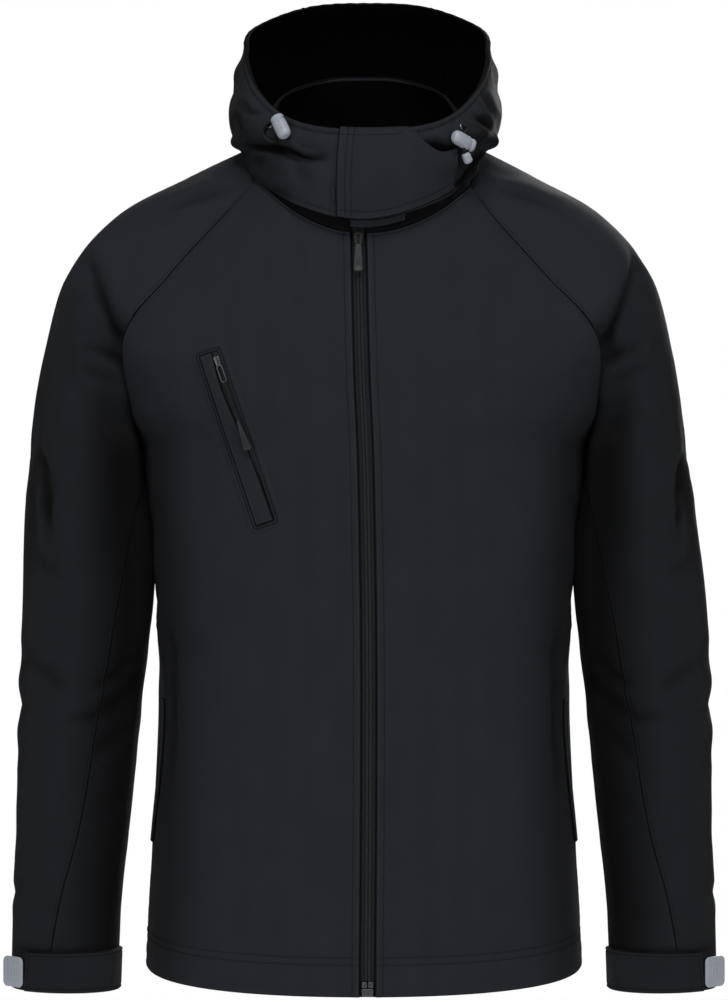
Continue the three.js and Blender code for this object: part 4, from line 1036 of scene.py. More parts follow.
def back_panel():
    def around(at, c):
        edge = np.where(at < 1, seam_around(at), 1 + 1e-9)
        return mix(2.0, edge, np.abs(c))

    def point(at, c):
        at, c = np.broadcast_arrays(at, c)
        return by_side(c >= 0, lambda s: body_point(at, around(at, c), s))

    def half_normal(s):
        normal = body_normal(at, around(at, c), s)
        seam = raglan_normal(np.clip(2 - at, 0, 1), True, s)
        run = lengths_of(point(at, c), 1)
        away = run[:, -1:] - run if s > 0 else run
        return np.where((at > 1)[..., None], seam_blend(normal, seam, away), normal)

    at, c = lay_out(point, (0, 2), (-1, 1), 4.8, 4.6, row_first=HEM_EDGE)
    panel = Panel(point(at, c), by_side(c >= 0, half_normal), at, c)
    creases = BODY_CREASES + creases_of(BODY_CREASES[5:-1], -1)
    panel.crease([k for k in creases if k[0] != "front"])
    up = smooth((at - 1) / 0.02)
    for edge in ("start", "end"):
        panel.valley(edge)
        panel.groove(edge, ROW["seam"], where=up)
        panel.pucker(edge, ROW["seam"], 0.25, 8, 0.6, up)
        panel.pucker(edge, 2, 0.35, 15, 1.3, 1 - up)
    hem_sewing(panel)
    return panel


# Sleeves
def under_seam(at, half):
    return np.where(at <= 1, 0, row(UNDER_SEAM, np.clip(at, 1, 2))[half][..., 0])


def upper_around(at, t):
    front, back = under_seam(at, "front"), under_seam(at, "back")
    return np.where(t <= 1, mix(front, 1.0, t), mix(1.0, 2 - back, t - 1))


def under_around(at, t):
    """t runs from 1 at the back seam through 0 at the inner side to -1 at the front seam."""
    return np.where(t <= 0, -t * under_seam(at, "front"), 2 - t * under_seam(at, "back"))


CUFF_TAB = {"thick": 2.6, "over": 0.3, "end": 0.375, "rows": (1.953, 2), "tall": 35}
# Painted shade of the sleeves: darker down the arm, and darkest beside the body, on the under
# sleeve near the armpit and at the outer rim.
PAINTED_SHADE = {"arm": 0.66, "beside": 0.1, "rim": 0.45, "under": 0.55}


def sleeve_folds(panel, side):
    """Folds of a sleeve, its painted shade down the arm, beside the body and at the outer rim, and
    the painted shade above the cuff tab.
    """
    panel.lift = -fold_depth(mirrored(SLEEVE_FOLDS, side), panel.base)
    panel.crease(creases_of(SLEEVE_CREASES, side))
    # Painted shade: darker down the arm, beside the body and at the outer rim.
    panel.paint_light(mix(1.0, PAINTED_SHADE["arm"], smooth((panel.at - 0.66) / 0.14)))
    outward = side * panel.normal[..., 0]
    beside = mix(PAINTED_SHADE["beside"], 1.0, smooth((outward + 0.85) / 1.05))
    panel.paint_light(mix(1.0, beside, smooth((panel.at - 0.8) / 0.25)))
    rim = smooth((outward - 0.76) / 0.2) * smooth((panel.at - 0.8) / 0.2)
    panel.paint_light(mix(1.0, PAINTED_SHADE["rim"], rim))
    # Painted shade on the sleeve just above the cuff tab.
    above = panel.last - CUFF_TAB["tall"]
    near = np.exp(-((np.maximum(above, 0) / 4.5) ** 2))
    panel.shade(0.9 * smooth((above + 1) / 2) * near)


def upper_sleeve(side):
    point = lambda at, t: sleeve_point(at, upper_around(at, t), side)
    at, t = lay_out(point, (0, 2), (0, 2), 4.6, 4.4)
    normal = sleeve_normal(at, upper_around(at, t), side)
    panel = Panel(point(at, t), normal, at, t)
    for back, away in ((False, panel.start), (True, panel.end)):
        seam = raglan_normal(np.clip(at, 0, 1), back, side)
        down = np.exp(-((np.maximum(at - 1, 0) / 0.03) ** 2))
        mixed = mix(normal, seam_blend(panel.normal, seam, away), down[..., None])
        panel.normal = unit(np.where((at > 1.12)[..., None], panel.normal, mixed))
        normal = panel.normal
    panel.base, panel.normal = mirror(panel.base, side), mirror(panel.normal, side)
    sleeve_folds(panel, side)
    for edge in ("start", "end"):
        panel.valley(edge)
        panel.groove(edge, ROW["seam"], 0.5)
        panel.pucker(edge, ROW["seam"], 0.25, 8, 2.2 + side)
    panel.valley("first", 0.7, 0.9)
    panel.groove("first", ROW["neck"])
    panel.valley("last", 0.8, 1.0)
    panel.groove("last", ROW["cuff"], 0.5)
    return panel


# How much fuller the under sleeve is below the armpit, where its cloth gathers beside the body.
UNDER_FULL = 6.4


def under_sleeve(side):
    point = lambda at, t: sleeve_point(at, under_around(at, t), side)
    at, t = lay_out(point, (1.012, 2), (1, -1), 4.6, 4.4)
    normal = sleeve_normal(at, np.clip(under_around(at, t), 0, 2), side)
    panel = Panel(mirror(point(at, t), side), mirror(normal, side), at, t)
    sleeve_folds(panel, side)
    for edge in ("start", "end"):
        panel.valley(edge)
        panel.pucker(edge, 2, 0.25, 9, 0.9 + side)
    panel.valley("last", 0.8, 1.0)
    # Painted shade on the under sleeve, darkest near the armpit.
    panel.paint_light(mix(PAINTED_SHADE["under"], 1.0, smooth((at - 1.25) / 0.35)))
    full = np.exp(-(((at - 1.2) / 0.14) ** 2)) * np.exp(-((t / 0.6) ** 2))
    panel.lift = panel.lift + UNDER_FULL * full
    return panel


def cuff_tab(side):
    """A tab round the front half of the cuff, from the back seam of the under sleeve."""

    def around(at, t):
        under = under_around(at, np.clip(-t, -1, 0))
        return np.where(t <= 1, under, upper_around(at, (t - 1) * CUFF_TAB["end"]))

    point = lambda at, t: sleeve_point(at, around(at, t), side)
    at, t = lay_out(point, CUFF_TAB["rows"], (0, 2), 2.6, 2.2)
    normal = sleeve_normal(at, around(at, t), side)
    panel = Panel(mirror(point(at, t), side), mirror(normal, side), at, t)
    level = CUFF_TAB["over"] + CUFF_TAB["thick"]
    panel.lift = level - fold_depth(mirrored(SLEEVE_FOLDS, side), panel.base)
    for edge in ("start", "end", "first", "last"):
        panel.valley(edge, 1.0, 1.0)
        panel.groove(edge, ROW["strap"], 0.45)
    panel.groove("start", ROW["patch"], 0.4)
    # Painted shade, as down the arm.
    panel.paint_light(PAINTED_SHADE["arm"])
    return panel


# Collar
def neck_line(k, side):
    """The neck seam: 0 zip, 1 front raglan, 2 shoulder, 3 back raglan, 4 centre back."""
    two = np.full(k.shape, 2.0)
    around = mix(front_start(two, side), 1.0, k)
    front = body_point(two, around, side)
    arm = sleeve_point(0 * two, np.clip(k - 1, 0, 2), side)
    back = body_point(two, np.clip(k - 2, 1 + 1e-9, 2), side)
    return np.where((k <= 1)[..., None], front, np.where((k <= 3)[..., None], arm, back))


def collar_point(base, up):
    angle = np.arctan2(base[..., 0], -base[..., 1])
    edge = row(COLLAR_TOP, np.abs(np.degrees(angle)))["edge"]
    radius, z = edge[..., 0], edge[..., 1]
    top = stack(radius * np.sin(angle), -radius * np.cos(angle), z)
    foot = base + np.array([0, 0, 0.3])
    swell = 3 * np.sin(np.pi * up)
    out = stack(np.sin(angle), -np.cos(angle), 0 * angle)
    return mix(foot, top, up[..., None]) + out * swell[..., None]


def collar_normal(base):
    return unit(stack(base[..., 0], base[..., 1], 0.2 * np.hypot(base[..., 0], base[..., 1])))


def collar():
    def line(t):
        return by_side(t >= 0, lambda s: neck_line(4 - 4 * np.abs(t), s))

    def point(up, t):
        up, t = np.broadcast_arrays(up, t)
        return collar_point(line(t), up)

    at, t = lay_out(point, (0, 1), (-1, 1), 3.6, 3.2)
    panel = Panel(point(at, t), collar_normal(line(t)), at, t)
    panel.lift = 0.8 * np.sin(panel.start / 23) * np.sin(np.pi * at)
    panel.lift += 0.5 * np.sin(panel.start / 9) * at**2
    for edge in ("start", "end", "last"):
        panel.valley(edge, 0.8, 1.0)
        panel.groove(edge, ROW["collar"], 0.5)
    panel.valley("first", 0.7, 0.9)
    panel.pucker("last", 3, 0.3, 9, 0.3)
    panel.facing = 4.5
    # Painted shade on the lower collar, under the hood.
    panel.shade(0.92 * smooth((0.75 - at) / 0.3))
    return panel


# Hood
def hood_seam(up):
    return mix(HOOD_SEAM["hem"], HOOD_SEAM["rim"], up)


def hood_folds(panel, side):
    panel.lift = -fold_depth(HOOD_FOLDS[side], panel.base)
    # Creases with painted shade in the narrow ones, and painted shade in the deepest hollows.
    panel.crease(HOOD_CREASES[side])
    panel.hollow(HOOD_HOLLOWS[side])
    outward = side * panel.normal[..., 0]
    # Painted shade on the sides of the hood that face outwards.
    panel.paint_light(1 - 0.5 * smooth((outward - 0.55) / 0.35))
    panel.crease(creases_of(HOOD_SIDE_CREASES, side))


def rim_sewing(panel):
    """The tunnel of the drawcord along the rim, and the sewn lower edge."""
    panel.lift = panel.lift + 1.1 * np.exp(-(((panel.last - 3) / 2.6) ** 2))
    panel.valley("last", 1.5, 1.3)
    panel.groove("last", ROW["rim"], 0.9, 1.0)
    panel.pucker("last", 5, 0.55, 12, 0.8)
    panel.pucker("last", 9, 0.3, 23, 2)
    panel.valley("first", 0.9, 1.0)
    panel.groove("first", ROW["loose"], 0.5)
    panel.pucker("first", 4, 0.4, 14, 1.6)
    panel.facing = 3


def hood_side(side):
    angle = lambda up, t: side * mix(3, hood_seam(up), t)
    point = lambda up, t: hood_point(angle(up, t), up)
    at, t = lay_out(point, (0, 1), (0, 1), 2.2, 2.0)
    panel = Panel(point(at, t), hood_normal(angle(at, t), at), at, t)
    hood_folds(panel, side)
    rim_sewing(panel)
    panel.valley("start", 0.6, 0.9)
    panel.valley("end")
    panel.groove("end", ROW["seam"])
    panel.pucker("end", 2, 0.3, 10, 2.4)
    return panel


def hood_centre():
    angle = lambda up, t: np.where(t < 0, -1, 1) * mix(180, hood_seam(up), np.abs(t))
    point = lambda up, t: hood_point(angle(up, t), up)
    at, t = lay_out(point, (0, 1), (-1, 1), 3.6, 3.2)
    panel = Panel(point(at, t), hood_normal(angle(at, t), at), at, t)
    panel.crease(HOOD_SIDE_CREASES)
    rim_sewing(panel)
    for edge in ("start", "end"):
        panel.valley(edge)
        panel.groove(edge, ROW["seam"])
        panel.pucker(edge, 2, 0.3, 10, 1.4)
    return panel


CHIN_ROWS = (("start", 7.6), ("start", 13), ("first", 6.8), ("last", 7))


def chin_tab():
    def place(up, t):
        r = row(CHIN_TAB, t)
        return r["angle"][..., 0], np.minimum(mix(r["low"][..., 0], r["high"][..., 0], up), 1)

    def point(up, t):
        up, t = np.broadcast_arrays(up, t)
        angle, high = place(up, t)
        return hood_point(angle, high)

    at, t = lay_out(point, (0, 1), (0, 1), 1.2, 1.3)
    angle, high = place(at, t)
    panel = Panel(point(at, t), hood_normal(angle, high), at, t)
    panel.lift = 3.0 - 1.4 * smooth((t - 0.72) / 0.28) - 0.6 * np.exp(-(((t - 0.5) / 0.3) ** 2))
    panel.lift -= 2.4 * smooth((t - 0.45) / 0.15) * np.exp(-((panel.last / 9) ** 2))
    for edge in ("start", "end", "first"):
        panel.valley(edge, 0.9, 1.1)
    for edge, distance in CHIN_ROWS:
        panel.groove(edge, distance, where=smooth((0.55 - t) / 0.05) if edge == "last" else 1.0)
    panel.pucker("first", 6.5, 0.25, 13, 0.2)
    return panel


def chin_underlap():
    point = lambda up, angle: hood_point(angle, up)
    at, angle = lay_out(point, (-0.09, 0.5), (-6, 18.5), 3, 3)
    panel = Panel(point(at, angle), hood_normal(angle, at), at, angle)
    folds = HOOD_FOLDS[1] + HOOD_FOLDS[-1]
    panel.lift = -3 - fold_depth(folds, panel.base)
    for edge in ("first", "end"):
        panel.valley(edge, 0.9, 1.0)
        panel.groove(edge, 4, 0.4)
    return panel


def label_tab():
    point = lambda up, angle: hood_point(angle, up)
    at, angle = lay_out(point, (0.2, 0.37), (-13.6, -12.2), 0.8, 1.2, *([EDGE[:3]] * 4))
    panel = Panel(point(at, angle), hood_normal(angle, at), at, angle)
    panel.lift = 1.3 + 0 * at
    panel.valley("start", 0.3, 0.5)
    return panel


# Chest pocket
CHEST_LONG = math.dist(CHEST["top"], CHEST["foot"])
HALF_WELT = CHEST["width"] / 2


def chest_point(along, across):
    """[at, x] on the front of a place on the chest pocket, seen from the front."""
    (x0, z0), (x1, z1) = CHEST["top"], CHEST["foot"]
    x = mix(x0, x1, along) - (z1 - z0) / CHEST_LONG * across
    z = mix(z0, z1, along) + (x1 - x0) / CHEST_LONG * across
    return seen_at(front_point, x, z, 1 - (z + 262) / 220, x)


def chest_surface(along, across, level):
    at, x = chest_point(*np.broadcast_arrays(np.asarray(along, float), np.asarray(across, float)))
    normal = front_normal(at, x)
    return front_point(at, x) + normal * level, normal


# Spacing of a strip's lines, taken at a usual length and width of strip.
STRIP = {"long": 155, "wide": 20, "row_step": 1.1, "step": 1.8}


def chest_strip(low, high, left, right, level):
    """A strip on the chest pocket between two lines across it."""
    long, wide = STRIP["long"], STRIP["wide"]
    rows = stations(1, STRIP["row_step"] / long, EDGE / long, EDGE / long)
    cols = stations(1, STRIP["step"] / wide, EDGE / wide, EDGE / wide)
    at, t = np.meshgrid(rows, cols, indexing="ij")
    along = mix(low, high, at)
    base, normal = chest_surface(along, mix(left(along), right(along), t), level)
    return Panel(base, normal, at, t)


FRAME = {"out": 9.0, "step": 0.8, "corner": 1.2, "row": 2.5, "welt": 0.4, "sewn": 0.5}


def chest_frame():
    """The stitched frame of the chest pocket: a fine patch that sinks into the front at its edges."""
    long, half, out, corner = CHEST_LONG, HALF_WELT, FRAME["out"], FRAME["corner"]
    down = np.arange(-out, long + out, FRAME["step"])
    wide = np.arange(-half - out, half + out, FRAME["step"] * 0.75)
    along, across = np.meshgrid(down / long, wide, indexing="ij")
    base, normal = chest_surface(along, across, 0)
    panel = Panel(base, normal, along, across)
    dx = np.abs(across) - half + corner
    dy = np.abs(along * long - long / 2) - long / 2 + corner
    beyond = np.hypot(np.maximum(dx, 0), np.maximum(dy, 0)) - corner
    beyond += np.minimum(np.maximum(dx, dy), 0)
    panel.lift = 1.0 - 1.6 * smooth((beyond - 4.2) / 4.6)
    panel.lift += 0.75 * np.exp(-(((beyond - 1.4) / 1.1) ** 2))
    # Painted shade in the stitched groove and at the welt.
    panel.press(0.7 * np.exp(-(((beyond - FRAME["row"]) / 0.6) ** 2)), 0.8)
    panel.press(1.0 * smooth((FRAME["welt"] - beyond) / 0.6))
    return panel


def slit(along):
    return row(CHEST_SLIT, along)["gap"][..., 0]


def chest_welt():
    panel = chest_strip(0, 1, lambda a: -HALF_WELT + 0 * a, lambda a: HALF_WELT - slit(a), 2.4)
    panel.lift = 0.5 * np.sin(np.pi * panel.across)
    for edge in ("start", "end", "first", "last"):
        panel.valley(edge, 1.3, 1.0)
    return panel


# Hand pockets
HAND_WELT = {"low": 0.265, "high": 0.555, "width": 0.05}


def hand_welt(side):
    around = lambda at, k: seam_around(at) + mix(0.004, HAND_WELT["width"], k)
    point = lambda at, k: body_point(at, around(at, k), side)
    at, k = lay_out(point, (HAND_WELT["low"], HAND_WELT["high"]), (0, 1), 2, 3)
    normal = body_normal(at, around(at, k), side)
    panel = Panel(mirror(point(at, k), side), mirror(normal, side), at, k)
    panel.lift = 2.3 + 0 * at
    for edge in ("start", "end", "first", "last"):
        panel.valley(edge, 1.2, 1.1)
    panel.groove("end", ROW["pocket"], 0.4)
    return panel


# Zip
def zip_point(at, x):
    at, x = np.broadcast_arrays(np.asarray(at, float), np.asarray(x, float))
    low = front_point(np.minimum(at, 2), x)
    high = collar_point(low, np.clip(at - 2, 0, 1))
    return np.where((at <= 2)[..., None], low, high)


def zip_normal(at, x):
    at, x = np.broadcast_arrays(np.asarray(at, float), np.asarray(x, float))
    low = np.minimum(at, 2)
    return np.where((at <= 2)[..., None], front_normal(low, x), collar_normal(front_point(low, x)))


def zip_tape(side):
    x = lambda at, t: zip_x(np.minimum(at, 2)) + side * t
    point = lambda at, t: zip_point(at, x(at, t))
    at, t = lay_out(point, (0, 3), (0, TAPE_WIDTH), 1.6, 4, *([EDGE[:4]] * 4))
    panel = Panel(point(at, t), zip_normal(at, x(at, t)), at, t)
    panel.lift = -CLOTH - 0.6 + 0.25 * np.exp(-(((panel.start - 5) / 1.2) ** 2))
    panel.valley("end", 0.3, 0.5)
    # Painted shade on the tape under the edges of the fronts, and along the gap at its middle.
    panel.shade(0.9 * smooth((panel.start - 4.6) / 1.6))
    panel.shade(np.exp(-((panel.start / 0.45) ** 2)))
    return panel


SLIDER_AT = 1.965
BOX_AT = 0.03
TOOTH = {"pitch": 1.45, "long": 3.1, "inner": -0.35, "radius": 0.5}


def zip_teeth():
    """Two rows of moulded coil loops that lie between each other."""
    at = np.linspace(BOX_AT + 0.002, SLIDER_AT - 0.02, 900)
    centre = zip_point(at, zip_x(at))
    run = lengths_of(centre, 0)
    count = int(run[-1] / TOOTH["pitch"])
    pieces = []
    for side in (-1, 1):
        offset = 0.25 if side > 0 else 0.75
        here = np.interp((np.arange(count) + offset) * TOOTH["pitch"], run, at)
        inner = zip_point(here, zip_x(here) + side * TOOTH["inner"])
        outer = zip_point(here, zip_x(here) + side * TOOTH["long"])
        up = zip_normal(here, zip_x(here))
        lift = -CLOTH + 1.1
        sizes = np.full(count, TOOTH["radius"])
        pieces.append((inner + up * lift, outer + up * (lift - 0.25), up, sizes))
    return spindles(pieces)


# Hard parts
def set_on(points, point, normal, turn=0.0):
    """Points drawn flat, x across and y up, put on a surface."""
    normal = unit(np.asarray(normal, float))
    across = unit(np.cross([0, 0, 1], normal))
    up = np.cross(normal, across)
    c, s = math.cos(math.radians(turn)), math.sin(math.radians(turn))
    x, y, z = np.asarray(points, float).T
    flat = np.stack([c * x - s * y, s * x + c * y, z], -1)
    return flat @ np.array([across, up, normal]) + np.asarray(point, float)


def outline(top, bottom, tall, corner, steps=7):
    """A plate with rounded corners, wider or narrower at its foot, as points round its edge."""
    spots = []
    for w, y, start in ((top, tall, 0), (-top, tall, 90), (-bottom, -tall, 180), (bottom, -tall, 270)):
        cx = math.copysign(abs(w) / 2 - corner, w)
        cy = math.copysign(abs(y) / 2 - corner, y)
        for a in np.radians(np.linspace(start, start + 90, steps)):
            spots.append((cx + corner * math.cos(a), cy + corner * math.sin(a)))
    return np.array(spots)


def inset(ring, by):
    """A ring drawn in by a distance."""
    ahead, behind = np.roll(ring, -1, 0), np.roll(ring, 1, 0)
    tangent = ahead - behind
    normal = np.stack([-tangent[:, 1], tangent[:, 0]], -1)
    normal = normal / np.maximum(np.linalg.norm(normal, axis=1, keepdims=True), 1e-9)
    return ring + normal * by


def loft(rings, closed=False):
    """A solid through rings of 3-D points, closed by a fan at each end or run round."""
    rings = [np.asarray(r, float) for r in rings]
    size, faces = len(rings[0]), []
    points = np.concatenate(rings)
    total = len(rings) if closed else len(rings) - 1
    for i in range(total):
        a, b = i * size, (i + 1) % len(rings) * size
        for k in range(size):
            n = (k + 1) % size
            faces.append((a + k, a + n, b + n, b + k))
    if not closed:
        first, last = len(points), len(points) + 1
        points = np.concatenate([points, rings[0].mean(0)[None], rings[-1].mean(0)[None]])
        base = (len(rings) - 1) * size
        for k in range(size):
            n = (k + 1) % size
            faces.append((first, n, k))
            faces.append((last, base + k, base + n))
    return points, faces


def pillow(ring, thick, soft, dip=0.0, dip_at=(0, 0), dip_size=3.0):
    """A plate whose edges are rounded, with a hollow pressed into its top."""
    rings = []
    for a in np.radians(np.linspace(-90, 90, 9)):
        flat = inset(ring, soft * (1 - math.cos(a)))
        z = thick / 2 + (thick / 2) * math.sin(a)
        rings.append(np.column_stack([flat, np.full(len(flat), z)]))
    for k in range(1, 6):
        flat = mix(inset(ring, soft), ring.mean(0), k / 6)
        away = np.linalg.norm(flat - np.array(dip_at), axis=1) / dip_size
        rings.append(np.column_stack([flat, thick - dip * np.exp(-(away**2) ** 2)]))
    return loft(rings)


def tube(path, radius, sides=12, closed=False, flat=1.0, up=(0, 0, 1)):
    """A round wire along points."""
    path = np.asarray(path, float)
    ahead = np.roll(path, -1, 0) if closed else np.concatenate([path[1:], path[-1:]])
    behind = np.roll(path, 1, 0) if closed else np.concatenate([path[:1], path[:-1]])
    along = unit(ahead - behind)
    side = unit(np.cross(along, np.asarray(up, float)))
    top = np.cross(side, along)
    turn = np.linspace(0, 2 * math.pi, sides, endpoint=False)
    rings = [
        p + radius * (np.outer(np.cos(turn), s) + flat * np.outer(np.sin(turn), t))
        for p, s, t in zip(path, side, top)
    ]
    return loft(rings, closed)


def lathe(profile, segments=40, flat=1.0):
    """A body turned round the y axis, from [y, r] pairs."""
    turn = np.linspace(0, 2 * math.pi, segments, endpoint=False)
    rings = [
        np.stack([r * np.cos(turn), np.full(segments, y), flat * r * np.sin(turn)], -1)
        for y, r in profile[::-1]
    ]
    return loft(rings)


def joined(*parts):
    points, faces, count = [], [], 0
    for spots, shape in parts:
        points.append(spots)
        faces += [tuple(int(v) + count for v in face) for face in shape]
        count += len(spots)
    return np.concatenate(points), faces


def shifted(part, *move):
    return part[0] + np.array(move), part[1]


def hard(name, part, place, material, node_name, body="jacket"):
    """A hard piece from flat-drawn points, set in its place."""
    obj = add_mesh(name, place(part[0]), part[1], [material])
    return dress(obj, node_name, body)


PULL = {"bail": 11, "tall": 25, "wide": 6.2, "low": 8.4, "thick": 2.4}


def bridge(half, low, rise, radius, steps):
    """The arch on a slider that its pull hangs on."""
    path = [
        (0, y, low + rise * math.sin(math.pi * (y + half) / (2 * half)))
        for y in np.linspace(-half, half, steps)
    ]
    return tube(path, radius, flat=0.8, up=(1, 0, 0))


def wire_loop(wide, tall, corner, radius, drop):
    """A closed wire link, its middle below the pin."""
    loop = outline(wide, wide, tall, corner)
    path = np.column_stack([loop[:, 0], loop[:, 1] - drop, np.zeros(len(loop))])
    return tube(path, radius, closed=True)


def zip_slider():
    foot = pillow(outline(9.6, 7.2, 13, 2.2), 1.5, 0.5)
    roof = shifted(pillow(outline(7.6, 5.4, 11, 2), 1.2, 0.5), 0, 0, 1.3)
    return joined(foot, roof, bridge(4, 2.2, 1.9, 0.75, 15))


def zip_pull():
    bail, tall, thick = PULL["bail"], PULL["tall"], PULL["thick"]
    link = wire_loop(4.2, bail - 0.6, 1.6, 0.6, bail / 2 - 0.3)
    plate = outline(PULL["wide"], PULL["low"], tall, 2.6, 9)
    tab = pillow(plate, thick, 0.9, 0.7, (0, -7.5), 3.4)
    hole = shifted(pillow(outline(3, 3, 4.4, 1.4), 0.4, 0.3), 0, 10, thick - 0.1)
    return link, shifted(joined(tab, hole), 0, -bail - tall / 2 + 1.5, -thick / 2)


def zip_box():
    """The box at the foot of the zip, the two ends of the rows of teeth and their ring."""
    block = shifted(pillow(outline(10.4, 9.6, 7, 1.3), 3.6, 0.6), 0, -3, 0)
    ends = [
        shifted(pillow(outline(4.6, 4.8, 5.6, 1), 3.0, 0.5), x, 3.6, 0) for x in (-2.7, 2.7)
    ]
    turn = np.linspace(0, 6, 16)
    ring = tube([(1.7 * math.cos(a), -2.8 + 1.5 * math.sin(a), 3.7) for a in turn], 0.42, 8)
    return joined(block, *ends, ring)


CHEST_PULL = {"ring": 16, "cord": 38, "tab": 27, "thick": 2.6}


def chest_pull():
    ring, cord, tab, thick = (CHEST_PULL[k] for k in ("ring", "cord", "tab", "thick"))
    link = wire_loop(4.6, ring - 0.8, 2.2, 0.55, ring / 2 - 1)
    y = np.linspace(-ring + 1.6, -ring - cord + 0.6, 30)
    strings = []
    for side in (-1, 1):
        x = side * (0.55 + 0.2 * np.sin(y / 9)) + 0.25 * np.sin(y / 5)
        strings.append(tube(np.stack([x, y, np.full(30, 0.1)], -1), 0.62, 10))
    end = pillow(outline(2.8, 7.6, tab, 1.25, 9), thick, 0.8, 0.35, (0, -6), 3.2)
    ribs = []
    for k in range(4):
        wide = 4.4 - k * 0.5
        rib = pillow(outline(wide, wide, 0.7, 0.3, 4), 0.5, 0.2)
        ribs.append(shifted(rib, 0, -9 + k * 2.2, thick - 0.25))
    low = -ring - cord - tab / 2 + 4
    return link, joined(*strings), shifted(joined(end, *ribs), 0, low, -0.9)


def chest_slider():
    return joined(pillow(outline(5.4, 4.4, 9, 1.7), 1.2, 0.4), bridge(3, 1.1, 1.5, 0.6, 11))


CUFF_END = {"at": 1.978, "long": 24, "tall": 27, "thick": 2.6, "corner": 5}


def cuff_end(side):
    """The moulded end of a cuff tab with its three bars, its place and the way it faces."""
    at, here = np.array(CUFF_END["at"]), CUFF_TAB["end"]
    long, thick = CUFF_END["long"], CUFF_END["thick"]
    around = lambda u: upper_around(at, np.array(u))
    spot = lambda u: mirror(sleeve_point(at, around(u), side), side)
    away = mirror(sleeve_normal(at, around(here), side), side)
    along = unit(spot(here + 0.02) - spot(here - 0.02))
    point = spot(here) + along * (long / 2 + 1) + away
    shape = pillow(outline(long, long, CUFF_END["tall"], CUFF_END["corner"], 9), thick, 0.9)
    bar = pillow(outline(1.4, 1.4, 15, 0.65, 5), 0.7, 0.3)
    bars = [shifted(bar, side * (-4 + 3.6 * k), 0, thick - 0.35) for k in range(3)]
    return joined(shape, *bars), point, unit(away + along * 0.08)


# Hood hardware. where: x and z seen from the front; turn: degrees anticlockwise.
EYELETS = {"left": (86.8, 24), "right": (-82, 26.5)}
EYELET_PROFILE = [
    (2.2, 0.7), (2.6, 1.15), (3.6, 1.0), (4.3, 0.45), (4.4, 0.0), (2.2, 0.0), (2.2, 0.5),
]
LOCKS = {
    "left": {"where": (83.6, 11), "turn": -110, "lift": 4.1},
    "right": {"where": (-69.7, 21), "turn": 35, "lift": 0.5},
}
LOCK_FLAT = 0.8
LOCK_PROFILE = [
    (-12, 0.4), (-12, 3.2), (-11.7, 3.9), (-10.9, 4.9), (-9.8, 5.7), (-8, 6.2), (-5, 6.35),
    (-1, 6.35), (3, 6.3), (5.2, 6.25), (5.9, 6), (6.2, 5.5), (6.5, 5), (7.4, 4.95), (7.8, 5.4),
    (8.2, 5.9), (8.9, 6.1), (10.4, 6.05), (11.3, 5.6), (11.8, 4.8), (12, 3.6), (12, 0.4),
]


def hood_at(where):
    """The angle and height on the hood, found from a first guess near its rim."""
    x, z = where
    return seen_at(hood_point, x, z, math.degrees(math.atan2(x, 85)), 0.85)


def on_hood(where, lift):
    angle, up = hood_at(where)
    base, normal = hood_point(angle, up), hood_normal(angle, up)
    sunk = fold_depth(HOOD_FOLDS[-1 if base[0] < 0 else 1], base)
    return base + normal * (lift - sunk)


def hood_facing(where):
    return hood_normal(*hood_at(where))


def eyelet():
    turn = np.linspace(0, 2 * math.pi, 40, endpoint=False)
    rings = [
        np.stack([r * np.cos(turn), r * np.sin(turn), np.full(40, z)], -1) for r, z in EYELET_PROFILE
    ]
    return loft(rings, closed=True)


def on_lock(name, points):
    """Points in the frame of a cord lock: across it, along it and off the hood."""
    lock = LOCKS[name]
    where = lock["where"]
    middle = on_hood(where, lock["lift"] + 6.3 * LOCK_FLAT)
    return set_on(points, middle, hood_facing(where), lock["turn"])


def cord_lock():
    """A round lock with its plunger, three ribs on its back and the mouth of its cord hole."""
    high = 6.1 * LOCK_FLAT
    turn = np.radians(np.linspace(40, 140, 15))
    ribs = [
        tube([(6.1 * math.cos(a), y, high * math.sin(a)) for a in turn], 0.42, 8, up=(0, 1, 0))
        for y in (-6.5, -4.4, -2.3)
    ]
    mouth = shifted(pillow(outline(5.2, 5.2, 3.6, 1.6), 0.5, 0.2), 0, 2.2, high - 0.3)
    return joined(lathe(LOCK_PROFILE, flat=LOCK_FLAT), mouth, *ribs)


CORD_WIDTH = 3.2
# Elastic cords by places on the hood and how far they stand off it, or by places in the frame
# of a cord lock: across it, along it to its plunger, and off the hood.
CORD_ROUTES = {
    "left": [
        {"where": (86.8, 24), "lift": 1.6},
        {"where": (86.9, 23.6), "lift": 3.2},
        {"where": (87, 21.6), "lift": 6},
        {"spot": (-6.8, -1, 0)},
        {"spot": (-3.4, -0.4, 0)},
        {"spot": (0.4, 0.6, 0)},
        {"spot": (4.2, 1.9, 0)},
        {"spot": (7.6, 3.1, 0)},
        {"spot": (8.3, 4, -0.2)},
        {"spot": (8.9, 5, -0.4)},
        {"spot": (10.4, 7.2, -0.7)},
        {"spot": (12.4, 9.8, -1.1)},
    ],
    "right": [
        {"where": (-82, 26.5), "lift": 1.6},
        {"where": (-82.3, 26.2), "lift": 3.2},
        {"where": (-84.6, 23.4), "lift": 4.8},
        {"where": (-86.5, 17.5), "lift": 4.6},
        {"where": (-83, 11.8), "lift": 4.6},
        {"where": (-78, 11.6), "lift": 5},
        {"spot": (-7.6, -2.7, 0)},
        {"spot": (-3.5, -1.2, 0)},
        {"spot": (0, 0, 0)},
        {"spot": (3, 1, 0)},
    ],
}


def cord_line(name):
    spots = []
    for stop in CORD_ROUTES[name]:
        if "where" in stop:
            spots.append(on_hood(stop["where"], stop["lift"]))
        else:
            spots.append(on_lock(name, [stop["spot"]])[0])
    return np.array(spots)


